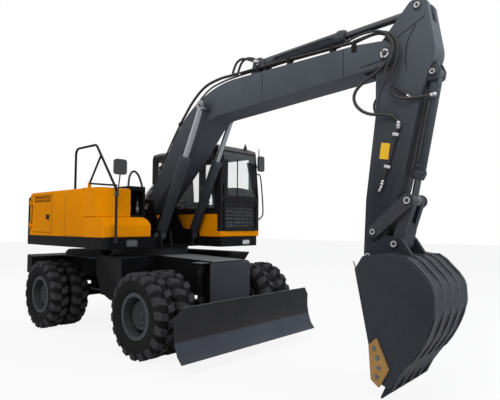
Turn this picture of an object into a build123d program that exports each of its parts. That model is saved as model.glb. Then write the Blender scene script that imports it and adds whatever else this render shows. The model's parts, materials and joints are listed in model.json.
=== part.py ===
from build123d import *
import math
import os

# Wheeled excavator, about 15 tonnes. All sizes in millimetres.
# Machine axes: +X forward from the slew axis, +Y to the left, +Z up from the ground.
# At the end every piece moves back by ORIGIN_AHEAD, so the origin is under the middle of the whole.
ORIGIN_AHEAD = 1196.0

# Clearances
FIT = 0.4            # radial room round a hinge pin or shaft
SEAT = 0.3           # gap left where one piece sits on another
GAP = 6.0            # side gap between pieces that move past each other
DOOR_GAP = 6.0       # gap round a door or lid

# Wheels and axles
TYRE_R = 527.5
TYRE_W = 278.0
TREAD_HALF = 112.0
TWIN_PITCH = 330.0
TWIN_MID = 941.0
SEAT_R = 254.0
FLANGE_R = 285.0
RIM_INNER_R = 236.0
RIM_HALF = 95.0
FLANGE_T = 12.0
DISC_T = 24.0
HUB_R = 165.0
HUB_IN = 862.0
HUB_OUT = 1105.0
SPINDLE_R = 80.0
SPINDLE_DEEP = 70.0
FRONT_AXLE_X = 1360.0
REAR_AXLE_X = -1240.0
AXLE_Z = TYRE_R
KINGPIN_Y = 760.0
KINGPIN_R = 32.0
YOKE_HALF_Z = 140.0
YOKE_T = 34.0
BEAM_HALF_X = 78.0
BEAM_HALF_Z = 85.0
DIFF_R = 150.0
DIFF_BACK = 70.0
DIFF_FRONT = 110.0
SHAFT_R = 45.0
SHAFT_Z = 500.0
REAR_TUBE_R = 98.0
TRACK_ARM = 120.0
TRACK_ARM_Z = -76.0
TRACK_ARM_T = 24.0
TIE_ROD_R = 18.0
BALL_PIN_R = 11.0
TIE_ROD_Z = -102.0

# Chassis
RAIL_HALF = 290.0
FLANGE_HALF = 430.0
CHASSIS_REAR = -2080.0
CHASSIS_NOSE = 1760.0
CHASSIS_TOP = 1080.0
FRONT_TOP = 1190.0
CHASSIS_LOW = 560.0
OVER_AXLE_Z = 690.0
BOX_REAR = 0.0
BOX_FRONT = 520.0
BOX_OUT = 870.0
RING_R = 590.0
RING_TOP = 1300.0
GUARD_X = 1785.0
GUARD_T = 14.0
GUARD_HALF = 375.0
GUARD_LOW = 640.0
GUARD_TOP = 1135.0
BUMPER_X = -2080.0
BUMPER_DEEP = 190.0
BUMPER_HALF = 1000.0

# Blade
BLADE_PIVOT_X = 1430.0
BLADE_PIVOT_Z = 330.0
BLADE_PIN_R = 30.0
BLADE_ARM_IN = 250.0
BLADE_ARM_OUT = 290.0
BLADE_HALF = 1250.0
BLADE_T = 16.0
BLADE_EDGE_X = 2295.0
BLADE_LOW = 140.0
BLADE_TOP = 730.0
BLADE_CORNER = 120.0
BLADE_CYL_Y = 380.0
BLADE_CYL_TOP = (1600.0, 1075.0)
BLADE_CYL_FOOT = (1640.0, 405.0)

# Upper works
UPPER_LOW = RING_TOP
DECK_TOP = 1460.0
HALF_WIDTH = 1245.0
UPPER_FRONT = 1206.0
RIGHT_FRONT = 700.0
TOOL_BOX_FRONT = 685.0
TOOL_BOX_IN = -505.0
TOOL_BOX_TOP = 1740.0
TANK_FRONT = 600.0
TANK_IN = -785.0
VALVE_FRONT = 540.0
BODY_REAR = -1610.0
TAIL_FRONT = BODY_REAR - SEAT
TAIL_R = 2100.0
BODY_TOP = 2150.0
BODY_WALL = 22.0
BODY_RIGHT_FRONT = 130.0
BODY_LEFT_FRONT = -560.0
WELL_RIGHT = -440.0
WEB_IN = 200.0
WEB_OUT = 222.0
WEB_TOP = 1440.0
LUG_T = 20.0

# Cab
CAB_IN = 385.0
CAB_OUT = HALF_WIDTH
CAB_REAR = -530.0
CAB_FRONT = UPPER_FRONT
CAB_LOW = DECK_TOP + SEAT
CAB_TOP = 2880.0
CAB_STRIP_TOP = 1545.0
CAB_BASE_TOP = 1805.0
CAB_WALL = 45.0
GLASS_T = 6.0
CAB_DOOR_REAR = -150.0
CAB_DOOR_FRONT = 1090.0

# Doors and lids of the body
HOOD_REAR = -1500.0
HOOD_FRONT = -660.0
HOOD_RIGHT = -800.0
HOOD_LEFT = 900.0
HOOD_T = 40.0
HOOD_PROUD = 26.0
SIDE_DOOR_REAR = -1560.0
SIDE_DOOR_FRONT = -850.0
SIDE_DOOR_LOW = DECK_TOP + 50.0
SIDE_DOOR_TOP = BODY_TOP - 60.0

# Hinges: a pin between two lugs on the body, with the leaf's barrel round it
HINGE_R = 12.0
HINGE_PIN_R = 7.0
HINGE_OUT = 17.0
HINGE_BACK = 15.0
BARREL_HALF = 24.0
LUG_H = 22.0
LEAF_T = 8.0
LEAF_REACH = 75.0
CAB_HINGE_Z = (1880.0, 2620.0)
SIDE_HINGE_Z = (1620.0, 1980.0)
HOOD_HINGE_Y = (-500.0, 600.0)

# Handrail
RAIL_IN = 145.0
RAIL_Y = RAIL_IN - HALF_WIDTH
RAIL_R = 17.0
RAIL_X = RIGHT_FRONT + SEAT + 30
RAIL_REAR_X = -400.0
RAIL_BRACE_X = 20.0
RAIL_FOOT_Z = 1420.0
RAIL_TOP_Z = 2767.0

# Digging arm. Pins are (x, z) at rest.
FOOT_PIN = (210.0, 1920.0)
BOOM_LIFT_PIN = (1520.0, 3255.0)
BOOM_CYL_FOOT = (650.0, 1480.0)
ARM_CYL_PIN = (2350.0, 3710.0)
STICK_PIN = (4120.0, 3360.0)
ARM_EYE_PIN = (4430.0, 3780.0)
BUCKET_CYL_PIN = (4560.0, 3100.0)
GUIDE_PIN = (3960.0, 1575.0)
JOINT_PIN = (4315.0, 1880.0)
BUCKET_PIN = (3915.0, 1330.0)
LINK_PIN = (4190.0, 1460.0)
BOOM_HALF = 190.0
STICK_HALF = 130.0
FORK_IN = STICK_HALF + GAP
CYL_Y = 306.0
CYL_R = 73.0
ROD_R = 40.0
EYE_HALF = 45.0
PIN_R = 45.0
EAR_IN = STICK_HALF + 2 * GAP
EAR_OUT = 190.0
BUCKET_HALF = 450.0
BUCKET_WALL = 20.0


def outline(corners):
    """Closed face in a plane's own axes. Each corner is (a, b, rounding radius)."""
    points = [(a, b) for a, b, r in corners]
    radii = [r for a, b, r in corners]
    return make_face(FilletPolyline(*points, radius=radii, close=True))


def across(corners, y_low, y_high):
    """Side outline in (x, z), as thick as from y_low to y_high."""
    plane = Plane.XZ.offset(-y_high)
    return extrude(plane * outline(corners), amount=y_high - y_low)


def upward(corners, z_low, z_high):
    """Plan outline in (x, y), from z_low up to z_high."""
    return extrude(Plane.XY.offset(z_low) * outline(corners), amount=z_high - z_low)


def forward(corners, x_low, x_high):
    """Front outline in (y, z), from x_low forward to x_high."""
    return extrude(Plane.YZ.offset(x_low) * outline(corners), amount=x_high - x_low)


def block(x_low, x_high, y_low, y_high, z_low, z_high):
    middle = ((x_low + x_high) / 2, (y_low + y_high) / 2, (z_low + z_high) / 2)
    return Pos(*middle) * Box(x_high - x_low, y_high - y_low, z_high - z_low)


def drum(pin, radius, y_low, y_high):
    """Cylinder along Y round a pin given as (x, z)."""
    plane = Plane(origin=(pin[0], y_low, pin[1]), z_dir=(0, 1, 0))
    return Solid.make_cylinder(radius, y_high - y_low, plane)


def bar(start, end, radius):
    """Round bar between two points."""
    run = Vector(*end) - Vector(*start)
    return Solid.make_cylinder(radius, run.length, Plane(origin=start, z_dir=run))


def bent_bar(points, bends, radius):
    """Round bar along straight runs joined by tangent arcs."""
    path = FilletPolyline(*points, radius=bends)
    section = Plane(origin=path @ 0, z_dir=path % 0) * Circle(radius)
    return sweep(section, path)


def other_side(piece):
    return mirror(piece, about=Plane.XZ)


def both(piece):
    return [piece, other_side(piece)]


def slide_along(pin, other, distance):
    """Point at a distance from one (x, z) pin towards another."""
    run = math.dist(pin, other)
    return tuple(p + (q - p) * distance / run for p, q in zip(pin, other))


def save(name, *pieces):
    """Write one node, moved from the slew axis to the part's own origin."""
    shift = Location((-ORIGIN_AHEAD, 0, 0))
    solids = [solid.moved(shift) for piece in pieces for solid in piece.solids()]
    shape = solids[0] if len(solids) == 1 else Compound(children=solids)
    export_step(shape, f"parts/{name}.step")


# Wheels
def ring(corners):
    """Turned ring about the wheel axis, from (y, radius) corners."""
    return revolve(Plane.YZ * outline(corners), Axis.Y, 360)


def tyre(mid):
    bead = RIM_HALF - SEAT
    half = TYRE_W / 2
    corners = [
        (mid - bead, SEAT_R + SEAT, 0),
        (mid - bead, FLANGE_R + 3, 0),
        (mid - half, FLANGE_R + 60, 40),
        (mid - half, TYRE_R - 75, 30),
        (mid - TREAD_HALF, TYRE_R, 0),
        (mid + TREAD_HALF, TYRE_R, 0),
        (mid + half, TYRE_R - 75, 30),
        (mid + half, FLANGE_R + 60, 40),
        (mid + bead, FLANGE_R + 3, 0),
        (mid + bead, SEAT_R + SEAT, 0),
    ]
    return ring(corners)


def rim_barrel(mid):
    outer = RIM_HALF + FLANGE_T
    corners = [
        (mid - outer, RIM_INNER_R, 0),
        (mid - outer, FLANGE_R, 0),
        (mid - RIM_HALF, FLANGE_R, 0),
        (mid - RIM_HALF, SEAT_R, 0),
        (mid + RIM_HALF, SEAT_R, 0),
        (mid + RIM_HALF, FLANGE_R, 0),
        (mid + outer, FLANGE_R, 0),
        (mid + outer, RIM_INNER_R, 0),
    ]
    return ring(corners)


def rim_dish(side):
    """Cone from the wheel disc out to one of the two barrels; side is +1 outward, -1 inward."""
    near = TWIN_MID + side * (DISC_T / 2)
    far = TWIN_MID + side * (TWIN_PITCH / 2 - RIM_HALF - FLANGE_T)
    corners = [
        (TWIN_MID, HUB_R - 10, 0),
        (near, HUB_R - 10, 0),
        (near + side * 12, HUB_R + 25, 0),
        (far + side * 30, RIM_INNER_R + 8, 0),
        (far + side * 2, RIM_INNER_R + 8, 0),
        (TWIN_MID, HUB_R + 35, 0),
    ]
    return ring(corners)


def rim():
    body = rim_barrel(TWIN_MID - TWIN_PITCH / 2) + rim_barrel(TWIN_MID + TWIN_PITCH / 2)
    body += rim_dish(1)
    body += rim_dish(-1)
    hub = [
        (HUB_IN, SPINDLE_R + FIT, 0),
        (HUB_IN, HUB_R, 10),
        (HUB_OUT - 20, HUB_R, 25),
        (HUB_OUT - 10, HUB_R - 40, 0),
        (HUB_OUT, HUB_R - 45, 10),
        (HUB_OUT + 15, 0, 0),
        (HUB_IN + SPINDLE_DEEP + SEAT, 0, 0),
        (HUB_IN + SPINDLE_DEEP + SEAT, SPINDLE_R + FIT, 0),
    ]
    return body + ring(hub)


# Front wheels sit on the knuckles, rear wheels on the rear axle.
WHEELS = [
    ("front_left", FRONT_AXLE_X, 1),
    ("front_right", FRONT_AXLE_X, -1),
    ("rear_left", REAR_AXLE_X, 1),
    ("rear_right", REAR_AXLE_X, -1),
]


def make_wheels():
    inner = tyre(TWIN_MID - TWIN_PITCH / 2)
    outer = tyre(TWIN_MID + TWIN_PITCH / 2)
    wheel_rim = rim()
    for name, x, hand in WHEELS:
        place = Pos(x, 0, AXLE_Z)
        pieces = [place * inner, place * outer]
        carrier = place * wheel_rim
        if hand < 0:
            pieces = [other_side(piece) for piece in pieces]
            carrier = other_side(carrier)
        save(f"tyres_{name}", *pieces)
        save(f"rim_{name}", carrier)


# Axles and steering
def make_front_axle():
    yoke_in = KINGPIN_Y - 110
    beam_plan = [
        (BEAM_HALF_X, -yoke_in - 20, 0),
        (BEAM_HALF_X, yoke_in + 20, 0),
        (-BEAM_HALF_X, yoke_in + 20, 0),
        (-BEAM_HALF_X, -yoke_in - 20, 0),
    ]
    beam = upward(beam_plan, -BEAM_HALF_Z, BEAM_HALF_Z)
    beam += bar((-DIFF_BACK, 0, 0), (DIFF_FRONT, 0, 0), DIFF_R)
    for hand in (1, -1):
        for z_side in (1, -1):
            low, high = sorted((z_side * YOKE_HALF_Z, z_side * (YOKE_HALF_Z - YOKE_T)))
            tip = [
                (-75, hand * yoke_in, 0),
                (75, hand * yoke_in, 0),
                (75, hand * (KINGPIN_Y + 70), 30),
                (-75, hand * (KINGPIN_Y + 70), 30),
            ]
            beam += upward(tip, low, high)
        back = [
            (-75, hand * (yoke_in - 20), 0),
            (75, hand * (yoke_in - 20), 0),
            (75, hand * (yoke_in + 18), 0),
            (-75, hand * (yoke_in + 18), 0),
        ]
        beam += upward(back, -YOKE_HALF_Z, YOKE_HALF_Z)
        for z_side in (1, -1):
            beam -= Pos(0, hand * KINGPIN_Y, z_side * YOKE_HALF_Z) * Cylinder(KINGPIN_R + FIT, 2 * YOKE_T + 2)
    # Saddle that carries the oscillating axle under the chassis
    beam += block(-60, 60, -120, 120, BEAM_HALF_Z - 10, OVER_AXLE_Z - AXLE_Z - SEAT)
    save("front_axle", Pos(FRONT_AXLE_X, 0, AXLE_Z) * beam)


def make_knuckle(name, hand):
    body_half = YOKE_HALF_Z - YOKE_T - 2 * FIT
    pin_half = YOKE_HALF_Z - 4
    knuckle = Pos(0, hand * KINGPIN_Y, 0) * Cylinder(62, 2 * body_half)
    knuckle += Pos(0, hand * KINGPIN_Y, 0) * Cylinder(KINGPIN_R, 2 * pin_half)
    flange_in = KINGPIN_Y + 78
    flange_r = YOKE_HALF_Z - YOKE_T - GAP
    knuckle += bar((0, hand * KINGPIN_Y, 0), (0, hand * (HUB_IN - 8), 0), 78)
    knuckle += bar((0, hand * flange_in, 0), (0, hand * (HUB_IN - GAP), 0), flange_r)
    knuckle += bar((0, hand * KINGPIN_Y, 0), (0, hand * (HUB_IN + SPINDLE_DEEP), 0), SPINDLE_R)
    # Steering arm, to the tie rod behind the axle
    arm = [
        (20, hand * (KINGPIN_Y + 30), 0),
        (20, hand * (KINGPIN_Y - 30), 0),
        (-TRACK_ARM - 10, hand * (KINGPIN_Y - 26), 24),
        (-TRACK_ARM - 26, hand * KINGPIN_Y, 20),
        (-TRACK_ARM - 10, hand * (KINGPIN_Y + 26), 24),
    ]
    plate = upward(arm, TRACK_ARM_Z, TRACK_ARM_Z + TRACK_ARM_T)
    plate -= Pos(-TRACK_ARM, hand * KINGPIN_Y, TRACK_ARM_Z) * Cylinder(BALL_PIN_R + FIT, 80)
    knuckle += plate
    save(name, Pos(FRONT_AXLE_X, 0, AXLE_Z) * knuckle)


def make_tie_rod():
    x = FRONT_AXLE_X - TRACK_ARM
    z = AXLE_Z + TIE_ROD_Z
    pin_top = AXLE_Z + TRACK_ARM_Z + TRACK_ARM_T
    rod = bar((x, -KINGPIN_Y, z), (x, KINGPIN_Y, z), TIE_ROD_R)
    for hand in (1, -1):
        rod += Pos(x, hand * KINGPIN_Y, z) * Sphere(TIE_ROD_R + 4)
        rod += bar((x, hand * KINGPIN_Y, z), (x, hand * KINGPIN_Y, pin_top), BALL_PIN_R)
    save("tie_rod", rod)


def make_rear_axle():
    tube_end = HUB_IN - GAP
    axle = bar((0, -tube_end, 0), (0, tube_end, 0), REAR_TUBE_R)
    axle += bar((0, -HUB_IN - SPINDLE_DEEP, 0), (0, HUB_IN + SPINDLE_DEEP, 0), SPINDLE_R)
    axle += bar((-DIFF_FRONT - 20, 0, 0), (DIFF_FRONT + 20, 0, 0), DIFF_R)
    for hand in (1, -1):
        axle += bar((0, hand * (tube_end - 40), 0), (0, hand * tube_end, 0), 130)
        low, high = sorted((hand * 170, hand * 280))
        axle += block(-110, 110, low, high, 0, OVER_AXLE_Z - AXLE_Z - SEAT)
    save("rear_axle", Pos(REAR_AXLE_X, 0, AXLE_Z) * axle)


# Chassis
def make_chassis():
    core = [
        (CHASSIS_REAR, OVER_AXLE_Z, 30),
        (CHASSIS_REAR, CHASSIS_TOP, 0),
        (-700, CHASSIS_TOP, 0),
        (-640, FRONT_TOP - 4, 0),
        (RING_R + 60, FRONT_TOP - 4, 0),
        (CHASSIS_NOSE, FRONT_TOP - 30, 60),
        (CHASSIS_NOSE, OVER_AXLE_Z, 20),
        (900, OVER_AXLE_Z, 60),
        (800, CHASSIS_LOW, 60),
        (-780, CHASSIS_LOW, 60),
        (-880, OVER_AXLE_Z, 60),
    ]
    frame = across(core, -RAIL_HALF, RAIL_HALF)
    for z in (OVER_AXLE_Z, CHASSIS_TOP - 24):
        frame += block(CHASSIS_REAR, -640, -FLANGE_HALF, FLANGE_HALF, z, z + 24)
    frame += block(-640, -600, -FLANGE_HALF, FLANGE_HALF, OVER_AXLE_Z, CHASSIS_TOP)
    for hand in (1, -1):
        low, high = sorted((hand * (RAIL_HALF - 60), hand * (RAIL_HALF + 10)))
        window = [
            (-1150, 790, 25),
            (-1150, 1000, 25),
            (-930, 1000, 25),
            (-930, 790, 25),
        ]
        frame -= across(window, low, high)
    # Round plate under the slewing ring
    frame += Pos(0, 0, FRONT_TOP - 15) * Cylinder(RING_R + 40, 30)
    # Brackets that carry the blade arms, reaching under the front axle beam
    bracket = [
        (BLADE_PIVOT_X - 62, BLADE_PIVOT_Z + 20, 30),
        (BLADE_PIVOT_X - 62, BLADE_PIVOT_Z - 62, 45),
        (BLADE_PIVOT_X + 80, BLADE_PIVOT_Z - 62, 40),
        (BLADE_PIVOT_X + 230, OVER_AXLE_Z + 20, 0),
        (BLADE_PIVOT_X + 60, OVER_AXLE_Z + 20, 0),
        (BLADE_PIVOT_X + 40, BLADE_PIVOT_Z + 80, 60),
    ]
    for hand in (1, -1):
        low, high = sorted((hand * 200, hand * (BLADE_ARM_IN - GAP)))
        frame += across(bracket, low, high)
        low, high = sorted((hand * 200, hand * (BLADE_ARM_OUT + 12)))
        frame += drum((BLADE_PIVOT_X, BLADE_PIVOT_Z), BLADE_PIN_R, low, high)
        # Ear that holds the head of the blade cylinder, and its pin
        ear = [
            (BLADE_CYL_TOP[0] - 70, BLADE_CYL_TOP[1] - 55, 40),
            (BLADE_CYL_TOP[0] + 70, BLADE_CYL_TOP[1] - 55, 40),
            (BLADE_CYL_TOP[0] + 90, FRONT_TOP - 62, 0),
            (BLADE_CYL_TOP[0] - 90, FRONT_TOP - 62, 0),
        ]
        low, high = sorted((hand * (RAIL_HALF - 5), hand * (BLADE_CYL_Y - EYE_HALF + 10)))
        frame += across(ear, low, high)
        low, high = sorted((hand * (RAIL_HALF - 5), hand * (BLADE_CYL_Y + 45)))
        frame += drum(BLADE_CYL_TOP, 24, low, high)
        low, high = sorted((hand * (RAIL_HALF - 5), hand * (BLADE_CYL_Y + 60)))
        frame += block(BLADE_CYL_TOP[0] - 100, BLADE_CYL_TOP[0] + 110, low, high, FRONT_TOP - 64, FRONT_TOP - 50)
    # Tie-down bores through two lugs at the tail
    for hand in (1, -1):
        low, high = sorted((hand * 330, hand * 370))
        lug = [
            (CHASSIS_REAR + 20, OVER_AXLE_Z + 10, 0),
            (CHASSIS_REAR + 140, OVER_AXLE_Z + 10, 0),
            (CHASSIS_REAR + 140, OVER_AXLE_Z - 80, 50),
            (CHASSIS_REAR + 20, OVER_AXLE_Z - 80, 50),
        ]
        frame += across(lug, low, high)
        frame -= drum((CHASSIS_REAR + 80, OVER_AXLE_Z - 32), 25, min(low, high) - 5, max(low, high) + 5)
    save("chassis_frame", frame)

    guard = forward(
        [
            (-GUARD_HALF, GUARD_LOW, 0),
            (GUARD_HALF, GUARD_LOW, 0),
            (GUARD_HALF, GUARD_TOP, 20),
            (-GUARD_HALF, GUARD_TOP, 20),
        ],
        GUARD_X,
        GUARD_X + GUARD_T,
    )
    for hand in (1, -1):
        low, high = sorted((hand * 150, hand * 180))
        guard += block(CHASSIS_NOSE + SEAT, GUARD_X, low, high, OVER_AXLE_Z + 60, FRONT_TOP - 120)
    save("guard_plate", guard)

    tail_cover = [
        (CHASSIS_REAR, CHASSIS_TOP + SEAT, 0),
        (CHASSIS_REAR, CHASSIS_TOP + 60, 30),
        (CHASSIS_REAR + 120, 1195, 60),
        (-840, 1195, 0),
        (-740, CHASSIS_TOP + SEAT, 0),
    ]
    save("tail_cover", across(tail_cover, -FLANGE_HALF + 40, FLANGE_HALF - 40))

    bumper = [
        (BUMPER_X - SEAT, 790, 0),
        (BUMPER_X - SEAT, 1075, 0),
        (BUMPER_X - BUMPER_DEEP, 1110, 20),
        (BUMPER_X - BUMPER_DEEP, 790, 20),
    ]
    rear_box = across(bumper, -BUMPER_HALF, BUMPER_HALF)
    save("rear_box", rear_box)

    box_side = [
        (BOX_REAR + 240, CHASSIS_LOW, 40),
        (BOX_FRONT, CHASSIS_LOW, 30),
        (BOX_FRONT, FRONT_TOP - 20, 10),
        (BOX_REAR - 150, FRONT_TOP - 20, 10),
        (BOX_REAR - 150, 900, 20),
        (BOX_REAR, 640, 60),
    ]
    boxes = both(across(box_side, RAIL_HALF + SEAT, BOX_OUT))
    boxes = [piece - Pos(0, 0, FRONT_TOP - 15) * Cylinder(RING_R + 40 + SEAT, 30 + 2 * SEAT) for piece in boxes]
    save("side_boxes", *boxes)

    step_rail = [
        (-320, FRONT_TOP + SEAT - 20, 0),
        (-320, FRONT_TOP + 25, 10),
        (1230, FRONT_TOP + 25, 10),
        (1120, 1070, 20),
        (BOX_FRONT + SEAT, 1070, 20),
        (BOX_FRONT + SEAT, FRONT_TOP + SEAT - 20, 0),
    ]
    left_deck = across(step_rail, 640, 1000)
    save("left_step", left_deck)

    gearbox = [
        (-420, 380, 60),
        (-420, CHASSIS_LOW - SEAT, 0),
        (260, CHASSIS_LOW - SEAT, 0),
        (260, 420, 60),
        (60, 360, 60),
    ]
    drive = across(gearbox, -210, 210)
    drive += bar((200, 0, SHAFT_Z), (FRONT_AXLE_X - BEAM_HALF_X - SEAT, 0, SHAFT_Z), SHAFT_R)
    drive += bar((-400, 0, SHAFT_Z), (REAR_AXLE_X + DIFF_FRONT + 20 + SEAT, 0, SHAFT_Z), SHAFT_R)
    save("gearbox_and_shafts", drive)

    bearing = Pos(0, 0, (FRONT_TOP + SEAT + RING_TOP - SEAT) / 2) * Cylinder(
        RING_R, RING_TOP - FRONT_TOP - 2 * SEAT
    )
    bearing -= Pos(0, 0, (FRONT_TOP + RING_TOP) / 2) * Cylinder(RING_R - 110, RING_TOP - FRONT_TOP + 2)
    save("slew_ring", bearing)


# Blade
def make_blade():
    back = [
        (BLADE_EDGE_X - 95, BLADE_TOP),
        (BLADE_EDGE_X - 128, (BLADE_TOP + BLADE_LOW) / 2 + 60),
        (BLADE_EDGE_X - 60, BLADE_LOW + 70),
        (BLADE_EDGE_X, BLADE_LOW),
    ]
    front_face = ThreePointArc(back[0], back[1], back[2])
    edge = Line(back[2], back[3])
    thick = BLADE_T
    rear_face = ThreePointArc(
        (back[0][0] - thick, back[0][1]),
        (back[1][0] - thick, back[1][1]),
        (back[2][0] - thick, back[2][1]),
    )
    rear_edge = Line((back[2][0] - thick, back[2][1]), (back[3][0] - 6, back[3][1]))
    loop = [
        front_face,
        edge,
        Line(back[3], (back[3][0] - 6, back[3][1])),
        rear_edge,
        rear_face,
        Line(back[0], (back[0][0] - thick, back[0][1])),
    ]
    face = make_face(Curve() + loop)
    board = extrude(Plane.XZ.offset(-BLADE_HALF) * face, amount=2 * BLADE_HALF)
    corner = [
        (BLADE_HALF - BLADE_CORNER, BLADE_TOP + 10, 0),
        (BLADE_HALF + 10, BLADE_TOP + 10, 0),
        (BLADE_HALF + 10, BLADE_TOP - BLADE_CORNER, 0),
    ]
    cut = forward(corner, BLADE_EDGE_X - 300, BLADE_EDGE_X + 50)
    board -= cut
    board -= other_side(cut)
    # Upright ribs and a cross tube behind the board, clear of the steered tyres
    rib = [
        (BLADE_EDGE_X - 120, BLADE_TOP - 80, 0),
        (BLADE_EDGE_X - 240, BLADE_TOP - 180, 60),
        (BLADE_EDGE_X - 240, BLADE_LOW + 110, 40),
        (BLADE_EDGE_X - 72, BLADE_LOW + 75, 0),
        (BLADE_EDGE_X - 130, BLADE_LOW + 250, 0),
    ]
    for y in (-560, BLADE_ARM_IN, BLADE_ARM_IN - 2 * BLADE_ARM_IN - 20, 540):
        board += across(rib, y, y + 20)
    arm = [
        (BLADE_PIVOT_X, BLADE_PIVOT_Z + 55, 54),
        (BLADE_PIVOT_X - 55, BLADE_PIVOT_Z, 54),
        (BLADE_PIVOT_X, BLADE_PIVOT_Z - 55, 54),
        (BLADE_EDGE_X - 120, BLADE_LOW + 110, 0),
        (BLADE_EDGE_X - 130, BLADE_LOW + 300, 0),
        (BLADE_PIVOT_X + 260, BLADE_PIVOT_Z + 120, 60),
    ]
    for hand in (1, -1):
        low, high = sorted((hand * BLADE_ARM_IN, hand * BLADE_ARM_OUT))
        board += across(arm, low, high)
        low, high = sorted((hand * BLADE_ARM_IN, hand * (BLADE_CYL_Y - 34)))
        board += drum(BLADE_CYL_FOOT, 40, low, high)
    for y in (BLADE_ARM_IN - 2, -BLADE_ARM_OUT - 2):
        board -= drum((BLADE_PIVOT_X, BLADE_PIVOT_Z), BLADE_PIN_R + FIT, y, y + 44)
    board += block(BLADE_EDGE_X - 330, BLADE_EDGE_X - 250, -BLADE_ARM_IN - 5, BLADE_ARM_IN + 5, 280, 380)
    save("blade", board)


# Hydraulic cylinders. Each is worked out from its two pins, (x, z), on the plane Y = y.
# Columns: name, barrel pin, rod pin, y places, barrel radius, rod radius, barrel length from pin,
# half width of the eyes, bore in the barrel eye, distance from barrel pin to the rod's inner end
CYLINDERS = [
    ("boom", BOOM_CYL_FOOT, BOOM_LIFT_PIN, (-CYL_Y, CYL_Y), CYL_R, ROD_R, 1230, EYE_HALF, 40, 780),
    ("arm", ARM_CYL_PIN, ARM_EYE_PIN, (0,), 70, 40, 1200, EYE_HALF, 40, 920),
    ("bucket", BUCKET_CYL_PIN, JOINT_PIN, (0,), 60, 34, 1010, EYE_HALF, 35, 172),
    ("blade", BLADE_CYL_TOP, BLADE_CYL_FOOT, (-BLADE_CYL_Y, BLADE_CYL_Y), 44, 26, 440, 30, 24, 205),
]


def cylinder_barrel(pin, other, y, radius, rod_radius, length, eye_half, bore, rod_foot):
    eye_r = radius * 0.95
    start = slide_along(pin, other, eye_r + 32)
    end = slide_along(pin, other, length)
    neck = slide_along(pin, other, length - 70)
    body = bar((start[0], y, start[1]), (end[0], y, end[1]), radius)
    body += bar((neck[0], y, neck[1]), (end[0], y, end[1]), radius + 5)
    body += drum(pin, eye_r, y - eye_half, y + eye_half)
    lean = math.atan2(other[0] - pin[0], other[1] - pin[1])
    root = Box(2 * eye_r * 0.8, 2 * eye_half, eye_r + 40)
    body += Pos(pin[0], y, pin[1]) * Rot(0, math.degrees(lean), 0) * Pos(0, 0, (eye_r + 40) / 2) * root
    body -= drum(pin, bore + FIT, y - eye_half - 1, y + eye_half + 1)
    mouth = slide_along(pin, other, length + 5)
    inner = slide_along(pin, other, 2 * eye_r + 40)
    body -= bar((inner[0], y, inner[1]), (mouth[0], y, mouth[1]), rod_radius + FIT)
    return body


def cylinder_rod(pin, other, y, radius, rod_radius, length, eye_half, bore, rod_foot):
    reach = math.dist(pin, other)
    eye_r = rod_radius + 26
    inner = slide_along(pin, other, rod_foot)
    end = slide_along(pin, other, reach - eye_r + 8)
    body = bar((inner[0], y, inner[1]), (end[0], y, end[1]), rod_radius)
    body += drum(other, eye_r, y - eye_half + 3, y + eye_half - 3)
    return body


def make_cylinders():
    for name, pin, other, places, *sizes in CYLINDERS:
        save(f"{name}_barrels" if len(places) > 1 else f"{name}_barrel",
             *[cylinder_barrel(pin, other, y, *sizes) for y in places])
        save(f"{name}_rods" if len(places) > 1 else f"{name}_rod",
             *[cylinder_rod(pin, other, y, *sizes) for y in places])


# Upper works
def tail_outline(inset):
    """Plan outline of the tail: round at the back, with rounded corners."""
    half = HALF_WIDTH - inset
    reach = TAIL_R - inset
    corner_x = -math.sqrt(reach**2 - half**2)
    arc = ThreePointArc((corner_x, half), (-reach, 0), (corner_x, -half))
    lines = [
        Line((TAIL_FRONT, -half), (TAIL_FRONT, half)),
        Line((TAIL_FRONT, half), (corner_x, half)),
        arc,
        Line((corner_x, -half), (TAIL_FRONT, -half)),
    ]
    return make_face(Curve() + lines)


def make_counterweight():
    weight = extrude(Plane.XY.offset(UPPER_LOW + 10) * tail_outline(0), amount=BODY_TOP - UPPER_LOW - 60)
    save("counterweight", weight)


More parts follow.
